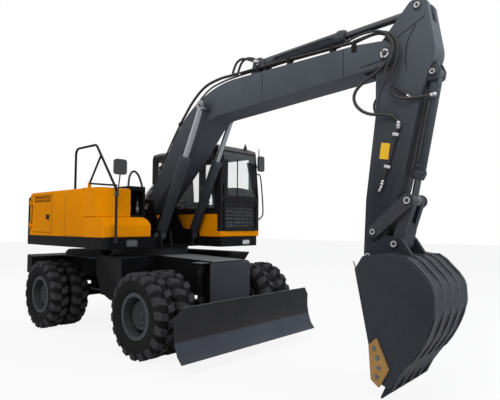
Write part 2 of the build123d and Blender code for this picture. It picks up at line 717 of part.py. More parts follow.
def make_upper_frame():
    front_corner = 90.0
    def plan(inset):
        return [
            (BODY_REAR - inset, -HALF_WIDTH + inset, 0),
            (RIGHT_FRONT - inset, -HALF_WIDTH + inset, 60 - inset),
            (RIGHT_FRONT - inset, CAB_IN + inset, 0),
            (UPPER_FRONT - inset, CAB_IN + inset, 30 - inset),
            (UPPER_FRONT - inset, HALF_WIDTH - inset, front_corner - inset),
            (BODY_REAR - inset, HALF_WIDTH - inset, 0),
        ]

    frame = upward(plan(0), UPPER_LOW + 10, DECK_TOP)
    frame -= upward(plan(14), UPPER_LOW + 40, DECK_TOP + 1)
    # Low front edge between the lugs, where the boom cylinders lie when the boom is down
    lug_out = CYL_Y + EYE_HALF + GAP + LUG_T
    frame -= block(RIGHT_FRONT - 15, RIGHT_FRONT + 1, -lug_out, lug_out, UPPER_LOW + 40, DECK_TOP + 1)
    frame += Pos(0, 0, UPPER_LOW + 12) * Cylinder(RING_R + 25, 24)
    # Floor of the side decks, level with the band
    for y0, y1 in ((-HALF_WIDTH - 1, WELL_RIGHT), (CAB_IN - 5, HALF_WIDTH + 1)):
        deck = upward(plan(0), DECK_TOP - 14, DECK_TOP)
        frame += deck & block(-3000, 3000, y0, y1, UPPER_LOW, DECK_TOP + 100)
    web = [
        (-1590, UPPER_LOW + 30, 0),
        (-1590, WEB_TOP, 30),
        (-480, WEB_TOP, 80),
        (-200, 1600, 100),
        (60, 1950, 0),
        (130, 2040, 80),
        (330, 2010, 80),
        (400, 1780, 150),
        (540, 1585, 100),
        (BOOM_CYL_FOOT[0] + 100, BOOM_CYL_FOOT[1] + 90, 60),
        (BOOM_CYL_FOOT[0] + 150, UPPER_LOW + 30, 0),
    ]
    for hand in (1, -1):
        low, high = sorted((hand * WEB_IN, hand * WEB_OUT))
        frame += across(web, low, high)
        frame += drum(FOOT_PIN, 95, low, high)
        # Outer lug of the boom cylinder's lower pin
        lug = [
            (BOOM_CYL_FOOT[0] - 130, UPPER_LOW + 30, 0),
            (BOOM_CYL_FOOT[0] - 75, BOOM_CYL_FOOT[1] + 75, 60),
            (BOOM_CYL_FOOT[0] + 75, BOOM_CYL_FOOT[1] + 75, 60),
            (BOOM_CYL_FOOT[0] + 130, UPPER_LOW + 30, 0),
        ]
        low, high = sorted((hand * (lug_out - LUG_T), hand * lug_out))
        frame += across(lug, low, high)
    frame += drum(FOOT_PIN, PIN_R, -WEB_OUT - 14, WEB_OUT + 14)
    for hand in (1, -1):
        low, high = sorted((hand * (WEB_IN + 5), hand * lug_out))
        frame += drum(BOOM_CYL_FOOT, 40, low, high)
    save("upper_frame", frame)


def make_body():
    right = -HALF_WIDTH
    left = HALF_WIDTH
    low = DECK_TOP + SEAT
    plan = [
        (BODY_REAR, right, 0),
        (BODY_RIGHT_FRONT, right, 30),
        (BODY_RIGHT_FRONT, WELL_RIGHT, 0),
        (BODY_LEFT_FRONT, WELL_RIGHT, 0),
        (BODY_LEFT_FRONT, left, 30),
        (BODY_REAR, left, 0),
    ]
    wall = BODY_WALL
    inner = [
        (BODY_REAR + wall, right + wall, 0),
        (BODY_RIGHT_FRONT - wall, right + wall, 10),
        (BODY_RIGHT_FRONT - wall, WELL_RIGHT - wall, 0),
        (BODY_LEFT_FRONT - wall, WELL_RIGHT - wall, 0),
        (BODY_LEFT_FRONT - wall, left - wall, 10),
        (BODY_REAR + wall, left - wall, 0),
    ]
    shell = upward(plan, low, BODY_TOP) - upward(inner, low - 1, BODY_TOP - wall)
    hood_cut = block(HOOD_REAR, HOOD_FRONT, HOOD_RIGHT, HOOD_LEFT, BODY_TOP - wall - 1, BODY_TOP + 1)
    shell -= hood_cut
    for hand in (1, -1):
        y0, y1 = sorted((hand * (HALF_WIDTH - wall - 1), hand * (HALF_WIDTH + 1)))
        shell -= block(SIDE_DOOR_REAR, SIDE_DOOR_FRONT, y0, y1, SIDE_DOOR_LOW, SIDE_DOOR_TOP)
    pins = hinge()[0]
    for hand in (1, -1):
        for piece in place_hinges(pins, SIDE_DOOR_REAR, hand, SIDE_HINGE_Z):
            shell += piece
    for piece in place_hood_hinges(pins):
        shell += piece
    save("body_shell", shell)

    engine = [
        (-1420, DECK_TOP + SEAT, 30),
        (-760, DECK_TOP + SEAT, 30),
        (-760, 1850, 60),
        (-900, 2000, 60),
        (-1300, 2000, 60),
        (-1420, 1850, 30),
    ]
    save("engine_block", across(engine, -450, 620))


def hinge():
    """Fixed and moving half of a hinge about Z at the origin; wall towards -Y, leaf towards +X."""
    reach = BARREL_HALF + LUG_H
    fixed = Cylinder(HINGE_PIN_R, 2 * reach)
    for side in (1, -1):
        lug_z = side * (BARREL_HALF + LUG_H / 2)
        fixed += Pos(0, 0, lug_z) * Cylinder(HINGE_R, LUG_H)
        fixed += Pos(-HINGE_R / 2, -HINGE_OUT / 2 - 1, lug_z) * Box(HINGE_R, HINGE_OUT + 2, LUG_H)
    half = BARREL_HALF - SEAT
    leaf = block(0, LEAF_REACH, 1 - HINGE_OUT, 1 - HINGE_OUT + LEAF_T, -half, half)
    leaf += block(HINGE_BACK + DOOR_GAP + 4, LEAF_REACH, -HINGE_OUT - 1, 2 - HINGE_OUT, -half, half)
    leaf += Cylinder(HINGE_R, 2 * half)
    leaf -= Cylinder(HINGE_PIN_R + SEAT, 3 * reach)
    return fixed, leaf


def place_hinges(piece, rear_x, hand, heights):
    """Put the same half of a hinge at each height behind a side door, on one hand."""
    placed = [Pos(rear_x - HINGE_BACK, HALF_WIDTH + HINGE_OUT, z) * piece for z in heights]
    return placed if hand > 0 else [other_side(item) for item in placed]


def place_hood_hinges(piece):
    spots = [Pos(HOOD_REAR - HINGE_BACK, y, BODY_TOP + HINGE_OUT) for y in HOOD_HINGE_Y]
    return [spot * Rot(90, 0, 0) * piece for spot in spots]


def make_body_doors():
    g = DOOR_GAP
    leaf = hinge()[1]
    low = BODY_TOP + HOOD_PROUD - HOOD_T
    hood = block(HOOD_REAR + g, HOOD_FRONT - g, HOOD_RIGHT + g, HOOD_LEFT - g, low, low + HOOD_T)
    for piece in place_hood_hinges(leaf):
        hood += piece
    save("engine_hood", hood)
    for name, hand in (("left", 1), ("right", -1)):
        y0, y1 = sorted((hand * (HALF_WIDTH - BODY_WALL), hand * HALF_WIDTH))
        door = block(SIDE_DOOR_REAR + g, SIDE_DOOR_FRONT - g, y0, y1, SIDE_DOOR_LOW + g, SIDE_DOOR_TOP - g)
        for piece in place_hinges(leaf, SIDE_DOOR_REAR, hand, SIDE_HINGE_Z):
            door += piece
        save(f"side_door_{name}", door)


def make_tanks():
    low = DECK_TOP + SEAT
    rear = BODY_RIGHT_FRONT + SEAT
    side = [
        (rear, low, 0),
        (TOOL_BOX_FRONT, low, 20),
        (TOOL_BOX_FRONT, TOOL_BOX_TOP - 115, 30),
        (TOOL_BOX_FRONT - 80, TOOL_BOX_TOP, 30),
        (rear, TOOL_BOX_TOP, 0),
    ]
    front = [
        (-HALF_WIDTH, low, 0),
        (-HALF_WIDTH, TOOL_BOX_TOP, 30),
        (TOOL_BOX_IN, TOOL_BOX_TOP, 100),
        (TOOL_BOX_IN, low, 0),
    ]
    box = across(side, -HALF_WIDTH, TOOL_BOX_IN) & forward(front, rear, TOOL_BOX_FRONT)
    save("tool_box", box)

    tank_plan = [
        (rear, -HALF_WIDTH, 0),
        (TANK_FRONT, -HALF_WIDTH, 200),
        (TANK_FRONT, TANK_IN, 20),
        (rear, TANK_IN, 0),
    ]
    tank_side = [
        (rear, TOOL_BOX_TOP + SEAT, 0),
        (rear, BODY_TOP, 0),
        (TANK_FRONT, BODY_TOP - 10, 60),
        (TANK_FRONT, TOOL_BOX_TOP + SEAT, 0),
    ]
    tank = upward(tank_plan, TOOL_BOX_TOP, 2300) & across(tank_side, -HALF_WIDTH, TANK_IN)
    save("tank_block", tank)

    valve_top = BODY_TOP + 35
    cover = block(rear, VALVE_FRONT, TANK_IN + SEAT, WELL_RIGHT - 20, TOOL_BOX_TOP + SEAT, valve_top)
    cover &= block(rear, VALVE_FRONT, TANK_IN + SEAT, TOOL_BOX_IN, 0, 3000)
    recess = 70
    cover -= block(
        VALVE_FRONT - 240, VALVE_FRONT + 1, TANK_IN + 40, TOOL_BOX_IN - 40, TOOL_BOX_TOP + 40, valve_top - recess
    )
    save("valve_cover", cover)


# Cab
def cab_profile(inset):
    return [
        (CAB_REAR + inset, CAB_LOW + inset, 10),
        (CAB_REAR + inset, CAB_TOP - inset, 120),
        (CAB_FRONT - 70 - inset, CAB_TOP - inset, 90),
        (CAB_FRONT - inset, 2080, 200),
        (CAB_FRONT - inset, CAB_LOW + inset, 20),
    ]


# Columns: name, wall, low corner and high corner along the wall, (a, z)
WINDOWS = [
    ("front_upper", "front", (CAB_IN + 70, 2090), (CAB_OUT - 70, 2760)),
    ("front_lower", "front", (CAB_IN + 70, 1560), (CAB_OUT - 70, 2010)),
    ("rear", "rear", (CAB_IN + 90, 2180), (CAB_OUT - 90, 2740)),
    ("right", "right", (CAB_REAR + 130, 1900), (CAB_FRONT - 160, 2740)),
    ("left_rear", "left", (CAB_REAR + 90, 2050), (CAB_DOOR_REAR - 70, 2740)),
]


def window_block(wall, start, end, shrink, reach):
    a0, a1 = start[0] + shrink, end[0] - shrink
    z0, z1 = start[1] + shrink, end[1] - shrink
    half = reach / 2
    if wall == "front":
        x = CAB_FRONT - CAB_WALL / 2
        return block(x - half, x + half, a0, a1, z0, z1)
    if wall == "rear":
        x = CAB_REAR + CAB_WALL / 2
        return block(x - half, x + half, a0, a1, z0, z1)
    y = CAB_IN + CAB_WALL / 2 if wall == "right" else CAB_OUT - CAB_WALL / 2
    return block(a0, a1, y - half, y + half, z0, z1)


def make_cab():
    shell = across(cab_profile(0), CAB_IN, CAB_OUT)
    shell -= across(cab_profile(CAB_WALL), CAB_IN + CAB_WALL, CAB_OUT - CAB_WALL)
    for _, wall, start, end in WINDOWS:
        shell -= window_block(wall, start, end, 0, 4 * CAB_WALL)
    shell -= block(CAB_DOOR_REAR, CAB_DOOR_FRONT, CAB_OUT - CAB_WALL - 1, CAB_OUT + 1, CAB_LOW + 50, 2800)
    base_room = block(-3000, 3000, 0, 3000, 0, CAB_STRIP_TOP)
    base_room += block(-3000, CAB_FRONT - CAB_WALL - 40, 0, CAB_IN + CAB_WALL + 1, 0, CAB_BASE_TOP)
    base_room += block(-3000, CAB_DOOR_REAR, 0, 3000, 0, CAB_BASE_TOP)
    save("cab_base", shell & base_room)
    pins, leaf = hinge()
    frame = shell - base_room
    for piece in place_hinges(pins, CAB_DOOR_REAR, 1, CAB_HINGE_Z):
        frame += piece
    save("cab_frame", frame)
    panes = []
    for _, wall, start, end in WINDOWS:
        panes.append(window_block(wall, start, end, SEAT, GLASS_T))
    save("cab_glass", *panes)
    g = DOOR_GAP
    door = block(
        CAB_DOOR_REAR + g, CAB_DOOR_FRONT - g, CAB_OUT - 40, CAB_OUT, CAB_LOW + 50 + g, 2800 - g
    )
    window = block(
        CAB_DOOR_REAR + 80, CAB_DOOR_FRONT - 80, CAB_OUT - 50, CAB_OUT + 10, 2000, 2730
    )
    door -= window
    for piece in place_hinges(leaf, CAB_DOOR_REAR, 1, CAB_HINGE_Z):
        door += piece
    save("cab_door", door)
    pane = block(
        CAB_DOOR_REAR + 80 + SEAT, CAB_DOOR_FRONT - 80 - SEAT, CAB_OUT - 23, CAB_OUT - 17,
        2000 + SEAT, 2730 - SEAT,
    )
    save("cab_door_glass", pane)
    floor = CAB_LOW + CAB_WALL + SEAT
    mid = (CAB_IN + CAB_OUT) / 2
    seat = block(-120, 60, mid - 120, mid + 120, floor, floor + 300)
    seat_side = [
        (-230, floor + 299, 0),
        (330, floor + 299, 40),
        (330, floor + 420, 50),
        (-60, floor + 430, 60),
        (-130, floor + 1080, 50),
        (-260, floor + 1080, 50),
        (-230, floor + 420, 60),
    ]
    seat += across(seat_side, mid - 240, mid + 240)
    save("seat", seat)
    column = block(640, 760, mid - 60, mid + 60, floor, floor + 120)
    column += bar((700, mid, floor + 100), (560, mid, floor + 720), 30)
    column += bar((560, mid, floor + 720), (553, mid, floor + 750), 190)
    save("steering_column", column)


def make_rails_and_mirrors():
    rail = bent_bar(
        [
            (RAIL_X, RAIL_Y, RAIL_FOOT_Z - 30),
            (RAIL_X, RAIL_Y, 2100),
            (186, RAIL_Y, RAIL_TOP_Z),
            (RAIL_REAR_X, RAIL_Y, RAIL_TOP_Z),
            (RAIL_REAR_X, RAIL_Y, BODY_TOP + SEAT),
        ],
        [90, 90, 90],
        RAIL_R,
    )
    rail += block(RIGHT_FRONT + SEAT, RAIL_X, RAIL_Y - 30, RAIL_Y + 30, RAIL_FOOT_Z - 30, RAIL_FOOT_Z + 30)
    brace_z = BODY_TOP + 75
    rail += bar((315, RAIL_Y, 2600), (RAIL_BRACE_X, RAIL_Y, brace_z), RAIL_R - 3)
    rail += bar((RAIL_BRACE_X, RAIL_Y, brace_z), (RAIL_BRACE_X, RAIL_Y, BODY_TOP + SEAT), RAIL_R - 3)
    rail += bar((RAIL_BRACE_X, RAIL_Y, brace_z), (RAIL_X, RAIL_Y, BODY_TOP + 8), RAIL_R - 4)
    for x in (RAIL_REAR_X, RAIL_BRACE_X):
        rail += Pos(x, RAIL_Y, BODY_TOP + SEAT + 5) * Cylinder(32, 10)
    save("handrail", rail)

    clamp_z = 2040.0
    right = Pos(RAIL_X, RAIL_Y, clamp_z) * (Cylinder(RAIL_R + 12, 50) - Cylinder(RAIL_R + SEAT, 52))
    right += bar((RAIL_X + RAIL_R + 12, RAIL_Y, clamp_z), (RAIL_X + 60, RAIL_Y + 10, 2310), 9)
    right += forward(
        [
            (RAIL_Y - 82, 2300, 40),
            (RAIL_Y + 102, 2300, 40),
            (RAIL_Y + 102, 2505, 40),
            (RAIL_Y - 82, 2505, 40),
        ],
        RAIL_X + 40,
        RAIL_X + 80,
    )
    left = block(CAB_FRONT - 106, CAB_FRONT - 56, CAB_OUT + SEAT, CAB_OUT + 14, 2530, 2650)
    left += bar((CAB_FRONT - 81, CAB_OUT + 18, 2590), (CAB_FRONT + 40, CAB_OUT + 45, 2620), 12)
    left += forward(
        [
            (CAB_OUT - 65, 2515, 40),
            (CAB_OUT + 80, 2515, 40),
            (CAB_OUT + 80, 2765, 40),
            (CAB_OUT - 65, 2765, 40),
        ],
        CAB_FRONT + 24,
        CAB_FRONT + 56,
    )
    save("mirrors", right, left)


# Digging arm
def make_boom():
    side = [
        (FOOT_PIN[0] - 110, FOOT_PIN[1] + 20, 0),
        (1253, 3555, 1550),
        (3800, 3532, 0),
        (4130, 3495, 60),
        (4245, 3400, 80),
        (4230, 3270, 80),
        (4060, 3238, 100),
        (1560, 3100, 350),
        (1180, 2680, 500),
        (FOOT_PIN[0] + 110, FOOT_PIN[1] - 40, 60),
        (FOOT_PIN[0] + 20, FOOT_PIN[1] - 110, 90),
        (FOOT_PIN[0] - 100, FOOT_PIN[1] - 70, 80),
    ]
    boom = across(side, -BOOM_HALF, BOOM_HALF)
    boom += drum(FOOT_PIN, 105, -WEB_IN + GAP, WEB_IN - GAP)
    boom -= drum(FOOT_PIN, PIN_R + FIT, -WEB_IN, WEB_IN)
    for hand in (1, -1):
        low, high = sorted((hand * (BOOM_HALF - 5), hand * (CYL_Y - EYE_HALF - GAP)))
        boom += drum(BOOM_LIFT_PIN, 70, low, high)
    # Room between the fork plates, also for the head of the stick when it swings out
    fork_room = [
        (3850, 3120, 0),
        (3850, 3395, 0),
        (3705, 3569, 0),
        (3705, 3620, 0),
        (4400, 3620, 0),
        (4400, 3120, 0),
    ]
    boom -= across(fork_room, -FORK_IN, FORK_IN)
    boom += drum(STICK_PIN, PIN_R, -BOOM_HALF - 14, BOOM_HALF + 14)
    ears = [
        (ARM_CYL_PIN[0] - 150, 3530, 0),
        (ARM_CYL_PIN[0] - 85, ARM_CYL_PIN[1] + 70, 70),
        (ARM_CYL_PIN[0] + 75, ARM_CYL_PIN[1] + 70, 70),
        (ARM_CYL_PIN[0] + 88, 3530, 0),
    ]
    for hand in (1, -1):
        low, high = sorted((hand * (EYE_HALF + GAP), hand * (EYE_HALF + GAP + 35)))
        boom += across(ears, low, high)
    boom += drum(ARM_CYL_PIN, 40, -EYE_HALF - GAP - 48, EYE_HALF + GAP + 48)
    save("boom", boom)


def make_stick():
    side = [
        (4360, 3850, 60),
        (4515, 3845, 70),
        (4600, 3300, 250),
        (4462, 2960, 200),
        (4240, 2000, 0),
        (4020, 1330, 60),
        (3930, 1240, 80),
        (3828, 1330, 70),
        (3860, 1900, 0),
        (3975, 2750, 300),
        (3985, 3190, 200),
        (3975, 3440, 140),
    ]
    stick = across(side, -STICK_HALF, STICK_HALF)
    # Slot where the arm cylinder's rod eye swings
    slot = [
        (3850, 3330, 0),
        (4335, 3615, 0),
        (4620, 3630, 0),
        (4620, 4000, 0),
        (3850, 4000, 0),
    ]
    stick -= across(slot, -EYE_HALF - GAP, EYE_HALF + GAP)
    for hand in (1, -1):
        low, high = sorted((hand * (EYE_HALF + GAP), hand * (STICK_HALF + 12)))
        stick += drum(ARM_EYE_PIN, 42, low, high)
    ears = [
        (4400, 3260, 0),
        (4590, 3210, 40),
        (BUCKET_CYL_PIN[0] + 66, BUCKET_CYL_PIN[1] + 20, 50),
        (BUCKET_CYL_PIN[0] + 50, BUCKET_CYL_PIN[1] - 62, 40),
        (BUCKET_CYL_PIN[0] - 60, BUCKET_CYL_PIN[1] - 66, 0),
        (4350, 3000, 0),
        (4350, 3260, 0),
    ]
    stick += across(ears, -EYE_HALF - GAP - 30, EYE_HALF + GAP + 30)
    barrel_room = [
        (BUCKET_CYL_PIN[0] - 85, BUCKET_CYL_PIN[1] + 85, 60),
        (BUCKET_CYL_PIN[0] + 300, BUCKET_CYL_PIN[1] + 85, 0),
        (BUCKET_CYL_PIN[0] + 300, 2600, 0),
        (4410, 2700, 0),
    ]
    stick -= across(barrel_room, -EYE_HALF - GAP, EYE_HALF + GAP)
    stick += drum(BUCKET_CYL_PIN, 35, -EYE_HALF - GAP - 44, EYE_HALF + GAP + 44)
    stick -= drum(STICK_PIN, PIN_R + FIT, -STICK_HALF - 1, STICK_HALF + 1)
    stick -= drum(BUCKET_PIN, 38 + FIT, -STICK_HALF - 1, STICK_HALF + 1)
    stick += drum(GUIDE_PIN, 32, -STICK_HALF - 55, STICK_HALF + 55)
    save("stick", stick)


def plate_between(pin, other, r_pin, r_other, y_low, y_high):
    """Flat link with two round ends."""
    run = Vector(other[0] - pin[0], other[1] - pin[1])
    side = Vector(-run.Y, run.X).normalized()
    corners = [
        (pin[0] + side.X * r_pin, pin[1] + side.Y * r_pin, 0),
        (other[0] + side.X * r_other, other[1] + side.Y * r_other, 0),
        (other[0] - side.X * r_other, other[1] - side.Y * r_other, 0),
        (pin[0] - side.X * r_pin, pin[1] - side.Y * r_pin, 0),
    ]
    link = across(corners, y_low, y_high)
    link += drum(pin, r_pin, y_low, y_high)
    return link + drum(other, r_other, y_low, y_high)


def make_links():
    guide_in = STICK_HALF + 12
    guides = []
    for hand in (1, -1):
        low, high = sorted((hand * guide_in, hand * (guide_in + 34)))
        link = plate_between(GUIDE_PIN, JOINT_PIN, 62, 66, low, high)
        link -= drum(GUIDE_PIN, 32 + FIT, low - 1, high + 1)
        guides.append(link)
    save("guide_links", *guides)
    fork_low = EYE_HALF + GAP
    fork_high = STICK_HALF
    link = plate_between(LINK_PIN, slide_along(LINK_PIN, JOINT_PIN, 190), 62, 50, -fork_high, fork_high)
    for hand in (1, -1):
        low, high = sorted((hand * fork_low, hand * fork_high))
        link += plate_between(slide_along(LINK_PIN, JOINT_PIN, 150), JOINT_PIN, 50, 60, low, high)
    link -= drum(LINK_PIN, 38 + FIT, -fork_high - 1, fork_high + 1)
    save("bucket_link", link)


def bucket_outline():
    return [
        (3900, 1215, 10),
        (3985, 1345, 40),
        (4180, 1375, 100),
        (4430, 1335, 200),
        (4655, 1100, 200),
        (4665, 880, 250),
        (4560, 600, 400),
        (4330, 275, 0),
        (4245, 150, 0),
        (4104, 200, 0),
    ]


def make_bucket():
    face = outline(bucket_outline())
    outer = extrude(Plane.XZ.offset(-BUCKET_HALF) * face, amount=2 * BUCKET_HALF)
    hollow = offset(face, amount=-BUCKET_WALL, kind=Kind.INTERSECTION)
    inside = BUCKET_HALF - BUCKET_WALL
    bucket = outer - extrude(Plane.XZ.offset(-inside) * hollow, amount=2 * inside)
    mouth = [
        (3800, 1190, 0),
        (3945, 1190, 0),
        (4142, 222, 0),
        (4222, 168, 0),
        (4180, 100, 0),
        (3800, 100, 0),
    ]
    bucket -= across(mouth, -inside, inside)
    # Room for the tip of the stick, also with the bucket curled right in
    tip_room = [
        (BUCKET_PIN[0] - 120, BUCKET_PIN[1] + 60, 0),
        (BUCKET_PIN[0] + 140, BUCKET_PIN[1] + 60, 0),
        (BUCKET_PIN[0] + 135, BUCKET_PIN[1] + 5, 0),
        (BUCKET_PIN[0] + 106, BUCKET_PIN[1] - 10, 0),
        (BUCKET_PIN[0] + 14, BUCKET_PIN[1] - 165, 0),
        (BUCKET_PIN[0] - 120, BUCKET_PIN[1] - 200, 0),
    ]
    bucket -= across(tip_room, -EAR_IN, EAR_IN)
    ear = [
        (BUCKET_PIN[0] - 75, BUCKET_PIN[1] - 40, 60),
        (BUCKET_PIN[0] - 40, BUCKET_PIN[1] + 85, 60),
        (4120, 1535, 60),
        (4250, 1530, 70),
        (4360, 1360, 0),
        (4340, 1320, 0),
        (4000, 1320, 0),
    ]
    for hand in (1, -1):
        low, high = sorted((hand * EAR_IN, hand * EAR_OUT))
        bucket += across(ear, low, high)
    bucket += drum(BUCKET_PIN, 38, -EAR_OUT - 14, EAR_OUT + 14)
    bucket += drum(LINK_PIN, 38, -EAR_OUT - 14, EAR_OUT + 14)
    tooth = [
        (4335, 290, 0),
        (4270, 310, 0),
        (4150, 60, 0),
        (4160, 45, 0),
        (4250, 120, 0),
    ]
    for index in range(5):
        y = -400 + index * 200
        bucket += across(tooth, y - 38, y + 38)
    save("bucket", bucket)
    cutter = [
        (4050, 520, 10),
        (4130, 600, 10),
        (4250, 330, 10),
        (4150, 150, 10),
        (4070, 210, 10),
    ]
    save("side_cutters", *both(across(cutter, BUCKET_HALF + SEAT, BUCKET_HALF + 22)))


def main():
    os.makedirs("parts", exist_ok=True)
    make_wheels()
    make_front_axle()
    make_knuckle("knuckle_left", 1)
    make_knuckle("knuckle_right", -1)
    make_tie_rod()
    make_rear_axle()
    make_chassis()
    make_blade()
    make_cylinders()
    make_counterweight()
    make_upper_frame()
    make_body()
    make_body_doors()
    make_tanks()
    make_cab()
    make_rails_and_mirrors()
    make_boom()
    make_stick()
    make_links()
    make_bucket()


main()
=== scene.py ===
"""Looks of the wheeled excavator: paints, eased edges, pipes and hoses, lugged tyres, trim, light and camera."""
import json
import math

import bmesh
import bpy
from mathutils import Matrix, Vector


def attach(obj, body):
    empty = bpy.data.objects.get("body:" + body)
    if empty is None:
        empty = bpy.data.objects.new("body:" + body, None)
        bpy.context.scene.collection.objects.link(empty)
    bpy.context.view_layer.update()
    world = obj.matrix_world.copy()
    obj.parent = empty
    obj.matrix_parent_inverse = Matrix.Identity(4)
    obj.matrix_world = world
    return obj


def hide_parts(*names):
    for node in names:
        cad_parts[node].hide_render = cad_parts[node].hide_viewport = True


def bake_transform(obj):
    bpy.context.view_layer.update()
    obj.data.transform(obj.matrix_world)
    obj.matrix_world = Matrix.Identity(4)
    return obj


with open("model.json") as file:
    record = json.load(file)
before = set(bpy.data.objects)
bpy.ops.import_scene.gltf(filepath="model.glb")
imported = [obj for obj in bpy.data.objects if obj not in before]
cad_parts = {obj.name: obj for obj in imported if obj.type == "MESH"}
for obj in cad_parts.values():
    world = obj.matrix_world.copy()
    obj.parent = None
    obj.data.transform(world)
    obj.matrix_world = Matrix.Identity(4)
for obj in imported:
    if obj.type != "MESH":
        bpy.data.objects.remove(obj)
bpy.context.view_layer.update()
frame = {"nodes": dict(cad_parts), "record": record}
SLOT_OF = {row["node"]: row["material_slot"] for row in frame["record"]["subparts"]}

# Machine places are in millimetres from the slew axis, x ahead, y left and z up, as in part.py.
# The part's own frame is in metres and starts this far ahead of the slew axis.
AHEAD = 1.196
HALF_WIDTH = 1245
BOOM_SIDE = 190
STICK_SIDE = 130
BUCKET_SIDE = 450
BUCKET_BACK = 4662.0
CAB_FRONT = 1206
DECK_FRONT = 700
# Pins, (x, z)
FOOT_PIN = (210, 1920)
BOOM_CYLINDER_FOOT = (650, 1480)
BOOM_LIFT_PIN = (1520, 3255)
ARM_CYLINDER_PIN = (2350, 3710)
ARM_EYE_PIN = (4430, 3780)
STICK_PIN = (4120, 3360)
BUCKET_CYLINDER_PIN = (4560, 3100)
JOINT_PIN = (4315, 1880)
GUIDE_PIN = (3960, 1575)
LINK_PIN = (4190, 1460)
BUCKET_PIN = (3915, 1330)


def at(x, y, z):
    """Point given in machine millimetres as a point of the part's frame in metres."""
    return Vector((x / 1000 - AHEAD, y / 1000, z / 1000))


def places(points):
    return [at(*point) for point in points]


def along(points, y):
    """Points (x, z) on one plane of y."""
    return [at(x, y, z) for x, z in points]


def stand(name, data):
    """New object in the scene."""
    item = bpy.data.objects.new(name, data)
    bpy.context.scene.collection.objects.link(item)
    return item


def to_data(name, mesh):
    """A bmesh as mesh data, freed."""
    data = bpy.data.meshes.new(name)
    mesh.to_mesh(data)
    mesh.free()
    return data


# Camera, solved from the photograph: place in metres, yaw, pitch and roll in degrees, lens and sensor in millimetres
CAMERA_PLACE = (4.947, -4.460, 1.630)
CAMERA_TURN = (131.956, 3.182, 0.257)
CAMERA_LENS = 33.12
CAMERA_SENSOR = 36.0


def make_camera():
    yaw, pitch, roll = (math.radians(turn) for turn in CAMERA_TURN)
    ahead = Vector((math.cos(pitch) * math.cos(yaw), math.cos(pitch) * math.sin(yaw), math.sin(pitch)))
    level = Vector((math.sin(yaw), -math.cos(yaw), 0))
    upright = level.cross(ahead)
    right = math.cos(roll) * level + math.sin(roll) * upright
    up = -math.sin(roll) * level + math.cos(roll) * upright
    data = bpy.data.cameras.new("camera")
    data.sensor_width = CAMERA_SENSOR
    data.lens = CAMERA_LENS
    camera = stand("camera", data)
    turn = Matrix((right, up, -ahead)).transposed().to_4x4()
    camera.matrix_world = Matrix.Translation(CAMERA_PLACE) @ turn
    bpy.context.scene.camera = camera


# Materials
def scale_colour(colour, factor):
    return tuple(min(1.0, channel * factor) for channel in colour)


class Graph:
    """Node tree of a material or world, with the groups of nodes that the materials share."""

    def __init__(self, tree):
        self.nodes, self.links = tree.nodes, tree.links

    def feed(self, node, inputs):
        """Give a node's sockets their values, or link them to other nodes' outputs."""
        for socket, value in inputs.items():
            if isinstance(value, bpy.types.NodeSocket):
                self.links.new(value, node.inputs[socket])
            else:
                node.inputs[socket].default_value = value
        return node

    def add(self, kind, inputs=None, **settings):
        node = self.nodes.new("ShaderNode" + kind)
        for name, value in settings.items():
            setattr(node, name, value)
        return self.feed(node, inputs or {})

    def place(self):
        return self.add("TexCoord").outputs["Object"]

    def noise(self, scale, detail=4.0, roughness=0.55):
        inputs = {"Scale": scale, "Detail": detail, "Roughness": roughness, "Vector": self.place()}
        return self.add("TexNoise", inputs).outputs["Fac"]

    def ramp(self, source, low, low_colour, high, high_colour):
        node = self.add("ValToRGB", {"Fac": source})
        for element, position, colour in zip(node.color_ramp.elements, (low, high), (low_colour, high_colour)):
            element.position = position
            element.color = (*colour, 1.0)
        return node.outputs["Color"]

    def tone(self, source, colour, darker, lighter):
        """A colour that a noise makes up to so much darker or lighter."""
        return self.ramp(source, 0.3, scale_colour(colour, 1 - darker), 0.7, scale_colour(colour, 1 + lighter))

    def math(self, operation, one, two):
        return self.add("Math", {0: one, 1: two}, operation=operation).outputs["Value"]

    def between(self, source, low, high):
        """Share of the way from low to high that a value has come."""
        return self.add("MapRange", {"From Min": low, "From Max": high, "Value": source}).outputs["Result"]

    def spread(self, source, low, high):
        """Value between low and high for a source from 0 to 1."""
        return self.add("MapRange", {"To Min": low, "To Max": high, "Value": source}).outputs["Result"]

    def mix(self, share, one, two):
        return self.add("Mix", {"Factor": share, "A": one, "B": two}, data_type="RGBA").outputs["Result"]

    def bump(self, height, strength, distance):
        inputs = {"Strength": strength, "Distance": distance, "Height": height}
        return self.add("Bump", inputs).outputs["Normal"]


def new_material(name):
    material = bpy.data.materials.new(name)
    material.use_nodes = True
    graph = Graph(material.node_tree)
    return material, graph, graph.nodes["Principled BSDF"]


